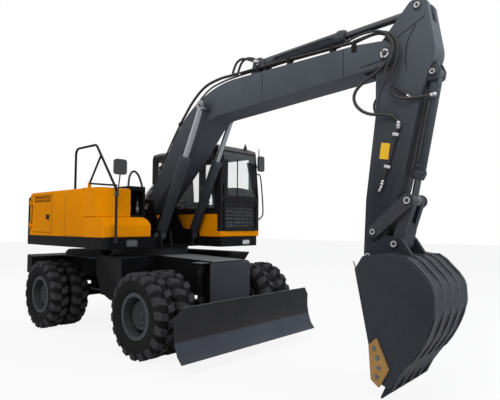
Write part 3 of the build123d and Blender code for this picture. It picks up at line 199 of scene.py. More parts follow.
def paint(name, colour, gloss=0.35, dust=0.12, edge_wear_and_highlight=0.35, spec=0.2, grade=None):
    """Sprayed enamel: slow tone change, faint orange peel, dust that dulls it, and paler edges that are partly wear
    and partly a painted highlight.

    With grade, a low height, a high height and a colour, it passes into that colour between the heights; on the arm
    paint this is a painted highlight towards the top, on the blade a painted shade above its crease.
    """
    material, graph, shader = new_material(name)
    broad = graph.noise(1.6, 3.0)
    # Paler convex edges: partly wear, partly a painted highlight on the corners.
    corner = graph.between(graph.add("NewGeometry").outputs["Pointiness"], 0.52, 0.62)
    worn_and_highlit = graph.math("MULTIPLY", graph.math("MULTIPLY", corner, graph.noise(22.0, 5.0, 0.7)), edge_wear_and_highlight)
    pale_wear_and_highlight = scale_colour(tuple(channel + 0.12 for channel in colour), 1.2)
    result = graph.mix(worn_and_highlit, graph.tone(broad, colour, dust, dust * 0.8), (*pale_wear_and_highlight, 1))
    # Colour graded by height: painted light, a highlight high on the arm paint and a shade on the blade's upper part.
    if grade:
        low, high, other = grade
        height = graph.add("SeparateXYZ", {"Vector": graph.place()}).outputs["Z"]
        result = graph.mix(graph.between(height, low, high), result, graph.tone(broad, other, dust, dust * 0.8))
    graph.feed(shader, {
        "Base Color": result,
        "Roughness": graph.spread(broad, gloss, min(1.0, gloss + 0.22)),
        "Normal": graph.bump(graph.noise(260.0, 2.0), 0.08, 0.001),
        "Specular IOR Level": spec,
    })
    return material


def plain(name, colour, roughness, grain, strength, metallic=0.0, vary=0.2, spec=0.5):
    """Rubber, moulding or bare metal with a fine grain."""
    material, graph, shader = new_material(name)
    noise = graph.noise(grain, 5.0, 0.6)
    graph.feed(shader, {
        "Base Color": graph.tone(noise, colour, vary, vary),
        "Roughness": graph.spread(noise, max(0.02, roughness - 0.08), min(1.0, roughness + 0.12)),
        "Normal": graph.bump(noise, strength, 0.002),
        "Metallic": metallic,
        "Specular IOR Level": spec,
    })
    return material


def glass(name, colour, alpha):
    """Thin tinted pane with a faint film of dust."""
    material, graph, shader = new_material(name)
    film = graph.ramp(graph.noise(3.0, 4.0), 0.35, scale_colour(colour, 0.9), 0.7, colour)
    graph.feed(shader, {"Base Color": film, "Roughness": 0.06, "IOR": 1.5, "Alpha": alpha})
    return material


def cloth(name, colour):
    """Woven cloth: two crossed waves for its threads."""
    material, graph, shader = new_material(name)
    place = graph.place()
    waves = [graph.add("TexWave", {"Scale": 120.0, "Vector": place}, bands_direction=axis).outputs["Fac"]
             for axis in ("X", "Z")]
    weave = graph.math("MULTIPLY", *waves)
    graph.feed(shader, {
        "Base Color": graph.ramp(weave, 0.1, scale_colour(colour, 0.7), 0.9, scale_colour(colour, 1.35)),
        "Roughness": 0.9,
        "Sheen Weight": 0.3,
        "Normal": graph.bump(weave, 0.3, 0.001),
    })
    return material


ORANGE = paint("amber_enamel", (0.78, 0.262, 0.0), gloss=0.45, dust=0.08, edge_wear_and_highlight=0.10, spec=0.02)
# The arm paint turns lighter from 2.0 m to 3.6 m up: a painted highlight for light from above and the sky's gloss on
# the boom's upper sides.
DARK = paint("blue_grey_enamel", (0.024, 0.028, 0.034), gloss=0.45, dust=0.18, spec=0.10,
             grade=(2.0, 3.6, (0.082, 0.094, 0.106)))
# The blade's paint turns darker above 0.34 to 0.37 m: a painted shade on the part above the blade's crease.
BLADE = paint("blade_enamel", (0.054, 0.060, 0.074), gloss=0.5, dust=0.2, spec=0.08,
              grade=(0.34, 0.37, (0.029, 0.029, 0.031)))
GUARD = paint("guard_enamel", (0.032, 0.037, 0.046), gloss=0.45, dust=0.18, spec=0.10)
BLACK = paint("black_enamel", (0.0048, 0.0050, 0.0056), gloss=0.5, dust=0.2, spec=0.05)
CAB_BLACK = paint("cab_black", (0.009, 0.009, 0.0105), gloss=0.42, dust=0.15, spec=0.09)
ROOF_GREY = paint("roof_grey", (0.085, 0.085, 0.088))
# Light grey on the top faces of the blade, guard plate, side boxes and chassis frame: a painted highlight.
TOP_HIGHLIGHT_GREY = paint("painted_top_highlight_grey", (0.17, 0.18, 0.19), gloss=0.42, dust=0.15)
RIM = paint("rim_enamel", (0.036, 0.040, 0.044), gloss=0.45, dust=0.2, spec=0.12)
# Lighter rim paint on the thin ring at the rim's edge and the hub covers' pressed rings: a painted highlight.
RIM_HIGHLIGHT = paint("rim_painted_highlight", (0.050, 0.053, 0.056), gloss=0.45, dust=0.2, spec=0.12)
CUTTER = paint("worn_cutter", (0.36, 0.20, 0.065), gloss=0.5, dust=0.25, edge_wear_and_highlight=0.3, spec=0.06)
# Name, colour, roughness, grain, its strength
CHROME = plain("hard_chrome", (0.34, 0.36, 0.38), 0.26, 200.0, 0.03, metallic=1.0, vary=0.06)
# A darker copy of the chrome for the arm and bucket rods: painted shade.
SHADED_CHROME = plain("chrome_painted_shade", (0.085, 0.088, 0.094), 0.34, 200.0, 0.03, metallic=1.0, vary=0.08)
SILVER = plain("turned_steel", (0.48, 0.48, 0.50), 0.32, 140.0, 0.08, metallic=1.0, vary=0.1)
STEEL = plain("oiled_steel", (0.16, 0.16, 0.165), 0.45, 90.0, 0.1, metallic=0.8, vary=0.15)
RING_DARK = plain("greased_ring", (0.018, 0.018, 0.019), 0.6, 60.0, 0.2, spec=0.2)
IRON = plain("painted_casting", (0.03, 0.03, 0.032), 0.6, 40.0, 0.25, vary=0.25)
RUBBER = plain("tyre_rubber", (0.0135, 0.0135, 0.014), 0.8, 70.0, 0.25, vary=0.3, spec=0.06)
TREAD = plain("tread_rubber", (0.046, 0.046, 0.048), 0.85, 30.0, 0.3, vary=0.35, spec=0.06)
HOSE = plain("hose_rubber", (0.012, 0.012, 0.013), 0.55, 150.0, 0.1)
LAMP = plain("lamp_face", (0.55, 0.55, 0.56), 0.25, 90.0, 0.05, vary=0.04)
DARK_LAMP = plain("dark_lamp_face", (0.06, 0.062, 0.066), 0.3, 90.0, 0.05, vary=0.1)
RAIL_BLACK = plain("rail_black", (0.008, 0.008, 0.009), 0.6, 150.0, 0.1, vary=0.15, spec=0.12)
MOULDING = plain("black_moulding", (0.02, 0.02, 0.021), 0.55, 220.0, 0.2, vary=0.15)
DASH = plain("dash_moulding", (0.035, 0.035, 0.037), 0.6, 220.0, 0.25, vary=0.15)
WHITE = plain("white_plate", (0.62, 0.62, 0.61), 0.5, 80.0, 0.05, vary=0.05)
YELLOW = plain("sign_yellow", (0.83, 0.47, 0.005), 0.45, 80.0, 0.05, vary=0.06)
PANE = glass("cab_glass", (0.60, 0.66, 0.68), 0.08)
FABRIC = cloth("seat_weave", (0.03, 0.03, 0.033))

# Look of each material slot, and nodes that differ from their slot's look
LOOKS = {
    "body_paint": ORANGE,
    "arm_paint": DARK,
    "chassis_paint": BLACK,
    "cab_paint": CAB_BLACK,
    "rod_chrome": CHROME,
    "tyre_rubber": RUBBER,
    "rim_paint": RIM,
    "ring_steel": RING_DARK,
    "engine_iron": IRON,
    "cab_glazing": PANE,
    "mirror_plastic": MOULDING,
    "seat_fabric": FABRIC,
    "dash_plastic": DASH,
}
SHADED_CHROME_RODS = ("arm_rod", "bucket_rod")


def dress_nodes():
    for name, node in frame["nodes"].items():
        look = SHADED_CHROME if name in SHADED_CHROME_RODS else LOOKS[SLOT_OF[name]]
        if node.material_slots:
            for slot in node.material_slots:
                slot.material = look
        else:
            node.data.materials.append(look)


# Making pieces
def link(name, data, material, body):
    piece = stand(name, data)
    data.materials.append(material)
    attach(piece, body)
    return piece


def from_mesh(name, mesh, material, body, smooth=False):
    """Piece of a body from a bmesh, which is freed."""
    mesh.normal_update()
    data = to_data(name, mesh)
    if smooth:
        for face in data.polygons:
            face.use_smooth = True
    piece = link(name, data, material, body)
    return piece


def evaluated(piece):
    """The piece's mesh with its modifiers applied, or a curve's mesh."""
    depsgraph = bpy.context.evaluated_depsgraph_get()
    return bpy.data.meshes.new_from_object(piece.evaluated_get(depsgraph), depsgraph=depsgraph)


def merge(mesh, part):
    """Add one mesh to another and free it."""
    data = to_data("part", part)
    mesh.from_mesh(data)
    bpy.data.meshes.remove(data)


def set_down(mesh, lean, place):
    """Turn a mesh about Y and move it to its place."""
    bmesh.ops.rotate(mesh, cent=(0, 0, 0), matrix=Matrix.Rotation(-lean, 3, "Y"), verts=mesh.verts)
    bmesh.ops.translate(mesh, vec=place, verts=mesh.verts)


def add_box(mesh, low, high, bevel=0.0):
    """Box between two corners in metres, with its edges eased."""
    size = [b - a for a, b in zip(low, high)]
    middle = [(a + b) / 2 for a, b in zip(low, high)]
    made = bmesh.ops.create_cube(mesh, size=1.0)
    bmesh.ops.scale(mesh, vec=size, verts=made["verts"])
    bmesh.ops.translate(mesh, vec=middle, verts=made["verts"])
    if bevel:
        edges = list(dict.fromkeys(edge for vert in made["verts"] for edge in vert.link_edges))
        bmesh.ops.bevel(mesh, geom=edges, offset=bevel, segments=2, affect="EDGES", profile=0.5)


def slab(mesh, xs, ys, zs, bevel=0.0):
    """Box in machine millimetres between two values each of x, y and z, in either order."""
    low, high = zip(*(sorted(pair) for pair in (xs, ys, zs)))
    add_box(mesh, at(*low), at(*high), bevel)


def add_rod(mesh, start, end, radius, sides=20):
    start, end = Vector(start), Vector(end)
    run = end - start
    turn = run.to_track_quat("Z", "Y").to_matrix().to_4x4()
    place = Matrix.Translation((start + end) / 2) @ turn
    bmesh.ops.create_cone(mesh, cap_ends=True, segments=sides, radius1=radius, radius2=radius, depth=run.length,
                          matrix=place)


def pegs(mesh, *rows):
    """Rods from rows of start and end in machine millimetres, radius in metres and number of sides."""
    for start, end, radius, sides in rows:
        add_rod(mesh, at(*start), at(*end), radius, sides)


def skin(mesh, rows, caps=False):
    """Bands of faces between rings of vertices, a list for each band; with caps the end rings are filled."""
    bands = []
    for one, two in zip(rows, rows[1:]):
        count = len(one)
        bands.append([mesh.faces.new([one[i], one[(i + 1) % count], two[(i + 1) % count], two[i]])
                      for i in range(count)])
    if caps:
        mesh.faces.new(rows[0])
        mesh.faces.new(rows[-1])
    return bands


def prism(mesh, loop, y_low, y_high):
    """Prism over a loop of (x, z) between two y planes."""
    near, far = [[mesh.verts.new(place) for place in along(loop, y)] for y in (y_low, y_high)]
    mesh.faces.new(near)
    mesh.faces.new(far)
    skin(mesh, (near, far))


def outward(mesh):
    bmesh.ops.recalc_face_normals(mesh, faces=mesh.faces)


make_camera()
dress_nodes()

# Copies of CAD nodes with their sharp edges rounded.
# Nodes with windows or openings keep their facets, because merging flats round a hole folds them over it.
HOLED = ("cab_frame", "cab_base", "cab_door", "body_shell", "upper_frame", "chassis_frame", "side_door_left",
         "side_door_right")
OWN_LOOK = {"counterweight": BLACK, "side_cutters": CUTTER, "blade": BLADE, "guard_plate": GUARD}
# Faces that look up above a height, in metres, have their own finish: the cab roof's grey paint, and on the rest a
# painted highlight along the top faces: finish, height, least upward normal
CAPPED = {
    "cab_frame": (ROOF_GREY, 2.80, 0.12),
    "blade": (TOP_HIGHLIGHT_GREY, 0.60, 0.8),
    "guard_plate": (TOP_HIGHLIGHT_GREY, 1.0, 0.8),
    "side_boxes": (TOP_HIGHLIGHT_GREY, 0.9, 0.8),
    "chassis_frame": (TOP_HIGHLIGHT_GREY, 1.07, 0.8),
}
# Larger rounds: radius, steps, and which corners in the part's frame an edge has to join.
# The limits lie a little inside the faces that the edges belong to.
BODY_TOP, BODY_SIDE, BODY_REAR = 2.149, 1.244, -1.609 - AHEAD
CAB_TOP, CAB_INNER_SIDE = 2.86, 0.386
TOOL_BOX_TOP, TAIL_TOP = 1.739, 2.09
ROUNDS = {
    "body_shell": [
        (0.045, 5, lambda x, y, z: z > BODY_TOP and abs(y) > BODY_SIDE),
        (0.030, 4, lambda x, y, z: z > BODY_TOP and x < BODY_REAR),
    ],
    "cab_frame": [
        (0.105, 8, lambda x, y, z: z > CAB_TOP and y > BODY_SIDE),
        (0.055, 6, lambda x, y, z: z > CAB_TOP and y < CAB_INNER_SIDE),
    ],
    "tool_box": [(0.03, 4, lambda x, y, z: z > TOOL_BOX_TOP and y < -BODY_SIDE)],
    "counterweight": [(0.05, 5, lambda x, y, z: z > TAIL_TOP)],
}
# Vents: rows of leaning slots cut into the side doors, and where their faces lie, in metres; these faces are painted
# black as painted shade in the shallow slots
SLOT_ROWS = (1984.0, 2037.0)
SLOT_FIRST, SLOT_PITCH, SLOT_COUNT = -1456.0, 64.0, 9
SLOT_WIDE, SLOT_LEAN, SLOT_TALL = 34, 26, 40
SLOT_FLOOR, SLOT_PAST = 1233, 1260
SLOT_DEPTHS = (1.2325, 1.2442)
SLOT_HEIGHTS = (1.982, 2.079)


def leaning_slots(hand):
    """Prisms to cut: a loop of (x, z) and two y planes each."""
    low, high = sorted((hand * SLOT_FLOOR, hand * SLOT_PAST))
    slots = []
    for z in SLOT_ROWS:
        for index in range(SLOT_COUNT):
            x = SLOT_FIRST + index * SLOT_PITCH
            top = z + SLOT_TALL
            loop = ((x, z), (x + SLOT_WIDE, z), (x + SLOT_WIDE + SLOT_LEAN, top), (x + SLOT_LEAN, top))
            slots.append((loop, low, high))
    return slots


SLOTS = {"side_door_right": leaning_slots(-1), "side_door_left": leaning_slots(1)}


def cut_slots(mesh, slots):
    """Cut prisms out of a mesh."""
    tool = bmesh.new()
    for loop, y_low, y_high in slots:
        prism(tool, loop, y_low, y_high)
    outward(tool)
    pair = [stand("cut", to_data("cut", source)) for source in (mesh.copy(), tool)]
    boolean = pair[0].modifiers.new("slots", "BOOLEAN")
    boolean.operation = "DIFFERENCE"
    boolean.object = pair[1]
    boolean.solver = "EXACT"
    result = evaluated(pair[0])
    mesh.clear()
    mesh.from_mesh(result)
    for item in pair:
        data = item.data
        bpy.data.objects.remove(item)
        bpy.data.meshes.remove(data)
    bpy.data.meshes.remove(result)


EASE_ANGLE = math.radians(32)
EASE_STEPS = 2
FLAT_ANGLE = math.radians(0.6)
SAME_SPOT = 0.00002
ROUND_ANGLE = 0.9


def round_edges(mesh, node):
    for radius, steps, wanted in ROUNDS.get(node, ()):
        edges = [edge for edge in mesh.edges if len(edge.link_faces) == 2
                 and edge.calc_face_angle(0) > ROUND_ANGLE and all(wanted(*corner.co) for corner in edge.verts)]
        bmesh.ops.bevel(mesh, geom=edges, offset=radius, segments=steps, affect="EDGES", profile=0.5,
                        clamp_overlap=False)


def keep_inside(data, source):
    """Hold the corners of a mesh inside the box of another."""
    for axis in range(3):
        values = [corner.co[axis] for corner in source.vertices]
        low, high = min(values), max(values)
        for vert in data.vertices:
            vert.co[axis] = min(max(vert.co[axis], low), high)


def finish_faces(data, node):
    """Give the capped faces their own finish (the roof's paint on the cab, a painted highlight elsewhere) and paint
    the insides of slots black as painted shade.
    """
    if node in CAPPED:
        finish, height, tilt = CAPPED[node]
        data.materials.append(finish)
        for face in data.polygons:
            if face.center.z > height and face.normal.z > tilt:
                face.material_index = 1
    if node in SLOTS:
        # Black on the slots' insides: painted shade.
        data.materials.append(BLACK)
        for face in data.polygons:
            if (SLOT_DEPTHS[0] < abs(face.center.y) < SLOT_DEPTHS[1]
                    and SLOT_HEIGHTS[0] < face.center.z < SLOT_HEIGHTS[1]):
                face.material_index = len(data.materials) - 1


def eased(node, width, body):
    """Stand a copy of a node in its place, with every edge sharper than the ease angle rounded off."""
    source = frame["nodes"][node].data
    mesh = bmesh.new()
    mesh.from_mesh(source)
    bmesh.ops.remove_doubles(mesh, verts=mesh.verts, dist=SAME_SPOT)
    if node not in HOLED:
        bmesh.ops.dissolve_limit(mesh, angle_limit=FLAT_ANGLE, verts=mesh.verts, edges=mesh.edges)
    if node in SLOTS:
        cut_slots(mesh, SLOTS[node])
    round_edges(mesh, node)
    data = to_data(node + "_eased", mesh)
    old = data.attributes.get("custom_normal")
    if old:
        data.attributes.remove(old)
    data.materials.clear()
    for face in data.polygons:
        face.use_smooth = True
    data.set_sharp_from_angle(angle=EASE_ANGLE)
    piece = link(node + "_eased", data, OWN_LOOK.get(node, LOOKS[SLOT_OF[node]]), body)
    bevel = piece.modifiers.new("ease", "BEVEL")
    bevel.width = width
    bevel.segments = EASE_STEPS
    bevel.limit_method = "ANGLE"
    bevel.angle_limit = EASE_ANGLE
    bevel.harden_normals = True
    bevel.use_clamp_overlap = False
    final = evaluated(piece)
    piece.modifiers.clear()
    piece.data = final
    keep_inside(final, source)
    finish_faces(final, node)
    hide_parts(node)


# Node, width of its eased edges in metres, body
for node, width, body in (
    ("boom", 0.005, "boom"),
    ("stick", 0.005, "stick"),
    ("bucket", 0.003, "bucket"),
    ("side_cutters", 0.003, "bucket"),
    ("blade", 0.003, "blade"),
    ("counterweight", 0.014, "upper"),
    ("tool_box", 0.008, "upper"),
    ("tank_block", 0.012, "upper"),
    ("valve_cover", 0.008, "upper"),
    ("engine_hood", 0.010, "engine_hood"),
    ("body_shell", 0.006, "upper"),
    ("side_door_left", 0.003, "side_door_left"),
    ("side_door_right", 0.003, "side_door_right"),
    ("upper_frame", 0.004, "upper"),
    ("cab_base", 0.006, "upper"),
    ("cab_frame", 0.005, "upper"),
    ("cab_door", 0.005, "cab_door"),
    ("chassis_frame", 0.004, "chassis"),
    ("side_boxes", 0.008, "chassis"),
    ("rear_box", 0.008, "chassis"),
    ("guard_plate", 0.003, "chassis"),
):
    eased(node, width, body)


# Pipes and hoses
def pipe(name, points, radius, body, material=HOSE, slot="chassis_paint", other=None, start=None, end=None):
    """Hose or pipe near the points; with another body it is baked in place and joined to no body. Start and end are
    not used.
    """
    curve = bpy.data.curves.new(name, "CURVE")
    curve.dimensions = "3D"
    curve.bevel_depth = radius
    curve.bevel_resolution = 4
    curve.use_fill_caps = True
    curve.resolution_u = 10
    spline = curve.splines.new("NURBS")
    spline.points.add(len(points) - 1)
    for point, place in zip(spline.points, points):
        point.co = (*place, 1.0)
    spline.order_u = 3
    spline.use_endpoint_u = True
    line = stand(name + "_line", curve)
    data = evaluated(line)
    bpy.data.objects.remove(line)
    for face in data.polygons:
        face.use_smooth = True
    data.materials.append(material)
    piece = stand(name, data)
    if other:
        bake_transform(piece)
    else:
        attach(piece, body)


# The boom's back as a guide for its pipes: a straight rise, an arc and a straight top
BACK_FOOT = (100.0, 1940.0)
BACK_WAY = (0.581, 0.814)
BACK_LONG = 1177.0
ARC_MIDDLE = (2046.0, 1997.0)
ARC_RADIUS = 1550.0
ARC_START, ARC_TURN = 144.5, 55.0
TOP_START = (2060.0, 3548.0)
TOP_LONG, TOP_FALL = 1740.0, 0.0092


def boom_back(place, lift):
    """Point (x, z) off the boom: place is 0 to 1 up the back, 1 to 2 round the bend, 2 to 3 along the top."""
    if place <= 1:
        run = BACK_LONG * place
        return (BACK_FOOT[0] + BACK_WAY[0] * run - BACK_WAY[1] * lift,
                BACK_FOOT[1] + BACK_WAY[1] * run + BACK_WAY[0] * lift)
    if place <= 2:
        turn = math.radians(ARC_START - ARC_TURN * (place - 1))
        reach = ARC_RADIUS + lift
        return ARC_MIDDLE[0] + reach * math.cos(turn), ARC_MIDDLE[1] + reach * math.sin(turn)
    run = TOP_LONG * (place - 2)
    return TOP_START[0] + run, TOP_START[1] - run * TOP_FALL + lift


def route(stops, y):
    """Points for stops of place along the boom's back and lift off it."""
    return along([boom_back(place, lift) for place, lift in stops], y)


# Name, y, radius, stops
for name, y, radius, stops in (
    ("boom_pipe_outer", -168, 0.013, ((0.28, 46), (0.6, 46), (1.0, 46), (1.16, 48))),
    ("boom_pipe_inner", -120, 0.012, ((0.28, 42), (0.6, 42), (1.0, 42), (1.25, 46), (1.5, 70), (1.62, 96),
                                      (1.78, 74), (2.0, 62), (2.5, 64), (2.86, 58))),
    ("boom_arc_hose", -168, 0.019, ((1.14, 48), (1.24, 54), (1.4, 104), (1.6, 150), (1.8, 104), (1.9, 74),
                                    (2.0, 68))),
    ("boom_top_pipe_outer", -174, 0.012, ((1.98, 67), (2.3, 67), (2.6, 60), (2.98, 46))),
    ("boom_top_pipe_middle", -149, 0.010, ((2.02, 62), (2.5, 62), (2.98, 46))),
    ("boom_left_pipe", 150, 0.013, ((0.28, 42), (1.0, 42), (1.4, 44), (1.8, 50), (2.2, 52), (2.98, 46))),
    ("boom_left_pipe_inner", 112, 0.013, ((0.28, 42), (1.0, 42), (1.4, 44), (1.8, 50), (2.2, 52), (2.86, 48))),
):
    pipe(name, route(stops, y), radius, "boom")


def clamp_block(name, place, lift, y_low, y_high, bolts):
    """Bracket foot, clamp bar and bolts that hold pipes off the boom."""
    low, high, foot = y_low / 1000, y_high / 1000, -lift / 1000
    mesh = bmesh.new()
    add_box(mesh, (-0.022, low, foot - 0.004), (0.022, high, foot + 0.006), 0.002)
    add_box(mesh, (-0.018, low + 0.004, foot), (0.018, high - 0.004, 0.0), 0.003)
    add_box(mesh, (-0.024, low, -0.016), (0.024, high, 0.018), 0.004)
    for y in bolts:
        add_rod(mesh, (0, y / 1000, 0.018), (0, y / 1000, 0.028), 0.008, 6)
    x, z = boom_back(place, lift)
    next_x, next_z = boom_back(place + 0.02, lift)
    set_down(mesh, math.atan2(next_z - z, next_x - x), at(x, 0, z))
    from_mesh(name, mesh, BLACK, "boom")


for number, (place, lift) in enumerate(((0.56, 44), (1.16, 46), (2.2, 66), (2.48, 64), (2.82, 58))):
    clamp_block(f"boom_clamp_{number}", place, lift, -189, -98, (-182, -134, -106))
for number, (place, lift) in enumerate(((0.56, 42), (1.2, 43), (2.1, 51), (2.82, 48))):
    clamp_block(f"boom_left_clamp_{number}", place, lift, 94, 170, (102, 131, 162))


def fitting(mesh, start, end, radius):
    """Hose end: ferrule, hexagon and collar along a line."""
    start, end = Vector(start), Vector(end)
    half, collar = start.lerp(end, 0.5), start.lerp(end, 0.75)
    add_rod(mesh, start, half, radius * 1.25, 16)
    add_rod(mesh, half, collar, radius * 1.6, 6)
    add_rod(mesh, collar, end, radius * 1.15, 16)


# Hoses from the boom's tip to the stick and the bucket cylinder
TIP_A = places((
    (3760, -174, 3580), (3950, -178, 3600), (4090, -190, 3585), (4215, -222, 3480), (4205, -226, 3310),
    (4080, -228, 3190), (3880, -228, 3100), (3775, -226, 3000), (3800, -222, 2870), (3930, -206, 2765),
    (4100, -178, 2750), (4200, -158, 2720), (4235, -152, 2640)))
TIP_B = places((
    (3760, -149, 3578), (3960, -158, 3608), (4120, -180, 3600), (4262, -214, 3470), (4262, -216, 3270),
    (4170, -214, 3100), (4170, -206, 2960), (4260, -186, 2875), (4400, -160, 2865), (4500, -125, 2875),
    (4545, -92, 2885)))
TIP_C = places((
    (3545, -120, 3590), (3640, -130, 3612), (3780, -188, 3625), (3960, -215, 3622), (4130, -234, 3580),
    (4232, -246, 3440), (4225, -250, 3300), (4140, -250, 3180), (4140, -240, 3080), (4200, -190, 3010),
    (4270, -150, 2960), (4330, -140, 2900)))
TIP_LEFT = [at(3760, 150, 3580)] + [Vector((place.x, -place.y, place.z)) for place in TIP_A[1:]]
TIP_BEND = {"other": "stick", "start": at(4120, 0, 3420), "end": at(4120, 0, 2900)}
for name, points, radius in (("tip_hose_a", TIP_A, 0.017), ("tip_hose_b", TIP_B, 0.014),
                             ("tip_hose_c", TIP_C, 0.012), ("tip_hose_left", TIP_LEFT, 0.015)):
    pipe(name, points, radius, "boom", **TIP_BEND)

# Pipes down the stick's sides, with their fittings and clamps
PIPE_SIDE = 151
PIPE_LINE = ((4228, 2620), (4212, 2560), (4150, 2330), (4100, 2190), (4062, 2090))
mesh = bmesh.new()
for hand in (-1, 1):
    side = hand * PIPE_SIDE
    fitting(mesh, at(4236, side + hand, 2665), at(4226, side, 2590), 0.018)
    fitting(mesh, at(4062, side, 2090), at(4046, side, 2030), 0.014)
    fitting(mesh, at(4046, side, 2030), at(4018, side, 1975), 0.012)
fitting(mesh, at(4318, -146, 2912), at(4350, -128, 2872), 0.013)
fitting(mesh, at(4522, -102, 2880), at(4572, -70, 2892), 0.016)
from_mesh("stick_fittings", mesh, SILVER, "stick", True)
for name, side in (("stick_pipe", -PIPE_SIDE), ("stick_pipe_left", PIPE_SIDE)):
    pipe(name, along(PIPE_LINE, side), 0.012, "stick")
PIPE_LEAN = -0.27
mesh = bmesh.new()
for hand in (-1, 1):
    for x, z in ((4203, 2535), (4112, 2222)):
        part = bmesh.new()
        low, high = sorted((hand * 0.012, hand * -0.021))
        add_box(part, (-0.034, low, -0.015), (0.034, high, 0.015), 0.003)
        for side in (-0.024, 0.024):
            add_rod(part, (side, hand * 0.012, 0), (side, hand * 0.019, 0), 0.007, 6)
        set_down(part, PIPE_LEAN, at(x, hand * PIPE_SIDE, z))
        merge(mesh, part)
from_mesh("stick_clamps", mesh, SILVER, "stick")

# Loops from the top pipes to the arm cylinder's foot
for number, (y, reach) in enumerate(((-150, 0), (-122, 70))):
    points = along([(x + reach, z) for x, z in ((1950, 3640), (1985, 3740), (2060, 3800), (2150, 3800))], y)
    points += [at(2240 + reach, y + 30, 3765), at(2300, -112 + number * 6, 3735)]
    pipe(f"arm_foot_hose_{number}", points, 0.016, "boom")
mesh = bmesh.new()
fitting(mesh, at(2290, -112, 3740), at(2370, -104, 3712), 0.017)
from_mesh("arm_foot_fitting", mesh, SILVER, "boom", True)

# Pin ends. Profile of a cap as shares of its radius and heights in metres, and which bands of it are bright
CAP_PROFILE = ((0.45, 0.010), (0.52, 0.006), (0.80, 0.006), (0.86, 0.011), (0.97, 0.011), (1, 0.008), (1, 0.0))
CAP_CROWN = 0.010
CAP_BRIGHT = (2, 3)
CAP_TURNS = 36


def pin_cap(name, pin, y, radius, body, broken=False):
    """Dished cap with a bolt and a bright ring, which may be broken in three places."""
    hand = -1 if y < 0 else 1
    centre = at(pin[0], y, pin[1])
    mesh = bmesh.new()
    crown = mesh.verts.new(centre + Vector((0, hand * CAP_CROWN, 0)))
    rows = []
    for share, height in CAP_PROFILE:
        turns = [2 * math.pi * i / CAP_TURNS for i in range(CAP_TURNS)]
        reach = radius * share
        rows.append([mesh.verts.new(centre + Vector((reach * math.cos(turn), hand * height, reach * math.sin(turn))))
                     for turn in turns])
    fan = [mesh.faces.new([crown, rows[0][i], rows[0][(i + 1) % CAP_TURNS]]) for i in range(CAP_TURNS)]
    for number, band in enumerate([fan] + skin(mesh, rows)):
        for i, face in enumerate(band):
            bright = number in CAP_BRIGHT and not (broken and i % 12 in (0, 1))
            face.material_index = 0 if bright else 1
    outward(mesh)
    before = len(mesh.faces)
    add_rod(mesh, centre + Vector((0, hand * 0.009, 0)), centre + Vector((0, hand * 0.018, 0)), radius * 0.30, 6)
    mesh.faces.ensure_lookup_table()
    for face in mesh.faces[before:]:
        face.material_index = 1
    piece = from_mesh(name, mesh, SILVER, body)
    piece.data.materials.append(IRON)


# Name, pin, y of the pin's end, radius in metres, body
for name, pin, y, radius, body in (
    ("stick_pin_cap", STICK_PIN, 204, 0.056, "boom"),
    ("arm_eye_cap", ARM_EYE_PIN, 142, 0.034, "stick"),
    ("bucket_cylinder_cap", BUCKET_CYLINDER_PIN, 125, 0.030, "stick"),
    ("guide_cap", GUIDE_PIN, 185, 0.034, "stick"),
    ("joint_cap", JOINT_PIN, 176, 0.040, "guide_links"),
    ("bucket_pin_cap", BUCKET_PIN, 204, 0.036, "bucket"),
    ("link_cap", LINK_PIN, 204, 0.036, "bucket"),
    ("boom_rod_cap", BOOM_LIFT_PIN, 348, 0.042, "boom_rods"),
    ("foot_cap", FOOT_PIN, 236, 0.044, "upper"),
    ("boom_cylinder_foot_cap", BOOM_CYLINDER_FOOT, 377, 0.042, "upper"),
    ("arm_cylinder_cap", ARM_CYLINDER_PIN, 99, 0.036, "boom"),
):
    for side, end in (("_right", -y), ("_left", y)):
        pin_cap(name + side, pin, end, radius, body, broken=name == "stick_pin_cap")

# Blank warning plate on the stick
mesh = bmesh.new()
prism(mesh, ((4040, 2476), (4134, 2456), (4110, 2296), (4016, 2314)), -STICK_SIDE - 0.5, -STICK_SIDE - 2.5)
outward(mesh)
from_mesh("stick_sign", mesh, YELLOW, "stick")

# Wheels: name, axle in metres from the slew axis, side, degrees that the tread is turned
WHEELS = (
    ("front_left", 1.360, 1, 0.0),
    ("front_right", 1.360, -1, 7.0),
    ("rear_left", -1.240, 1, 4.0),
    ("rear_right", -1.240, -1, 12.0),
)
AXLE_HEIGHT = 0.5275
TWIN_MIDDLE, TWIN_HALF_PITCH = 0.941, 0.165
TURNS = 72
# Half of the carcass: across, radius
CARCASS = ((-0.094, 0.2555), (-0.094, 0.289), (-0.110, 0.300), (-0.114, 0.312), (-0.121, 0.318), (-0.131, 0.345),
           (-0.1375, 0.375), (-0.1385, 0.402), (-0.1365, 0.408), (-0.1385, 0.414), (-0.137, 0.436),
           (-0.130, 0.455), (-0.118, 0.478), (-0.100, 0.496), (-0.060, 0.5015), (-0.012, 0.503))
# A lug from the tread's middle to the shoulder: across, radius of foot and top, shift and half width in degrees
LUG_PATH = ((0.004, 0.503, 0.5265, 0.0, 5.4), (0.050, 0.502, 0.5272, 1.2, 5.6), (0.104, 0.496, 0.5262, 3.4, 6.0),
            (0.122, 0.474, 0.502, 4.4, 6.3), (0.1345, 0.446, 0.462, 5.0, 6.4), (0.1375, 0.426, 0.430, 5.2, 5.9))
LUGS, LUG_STEP = 18, 20
LUG_SUNK, LUG_TAPER = 0.004, 1.3
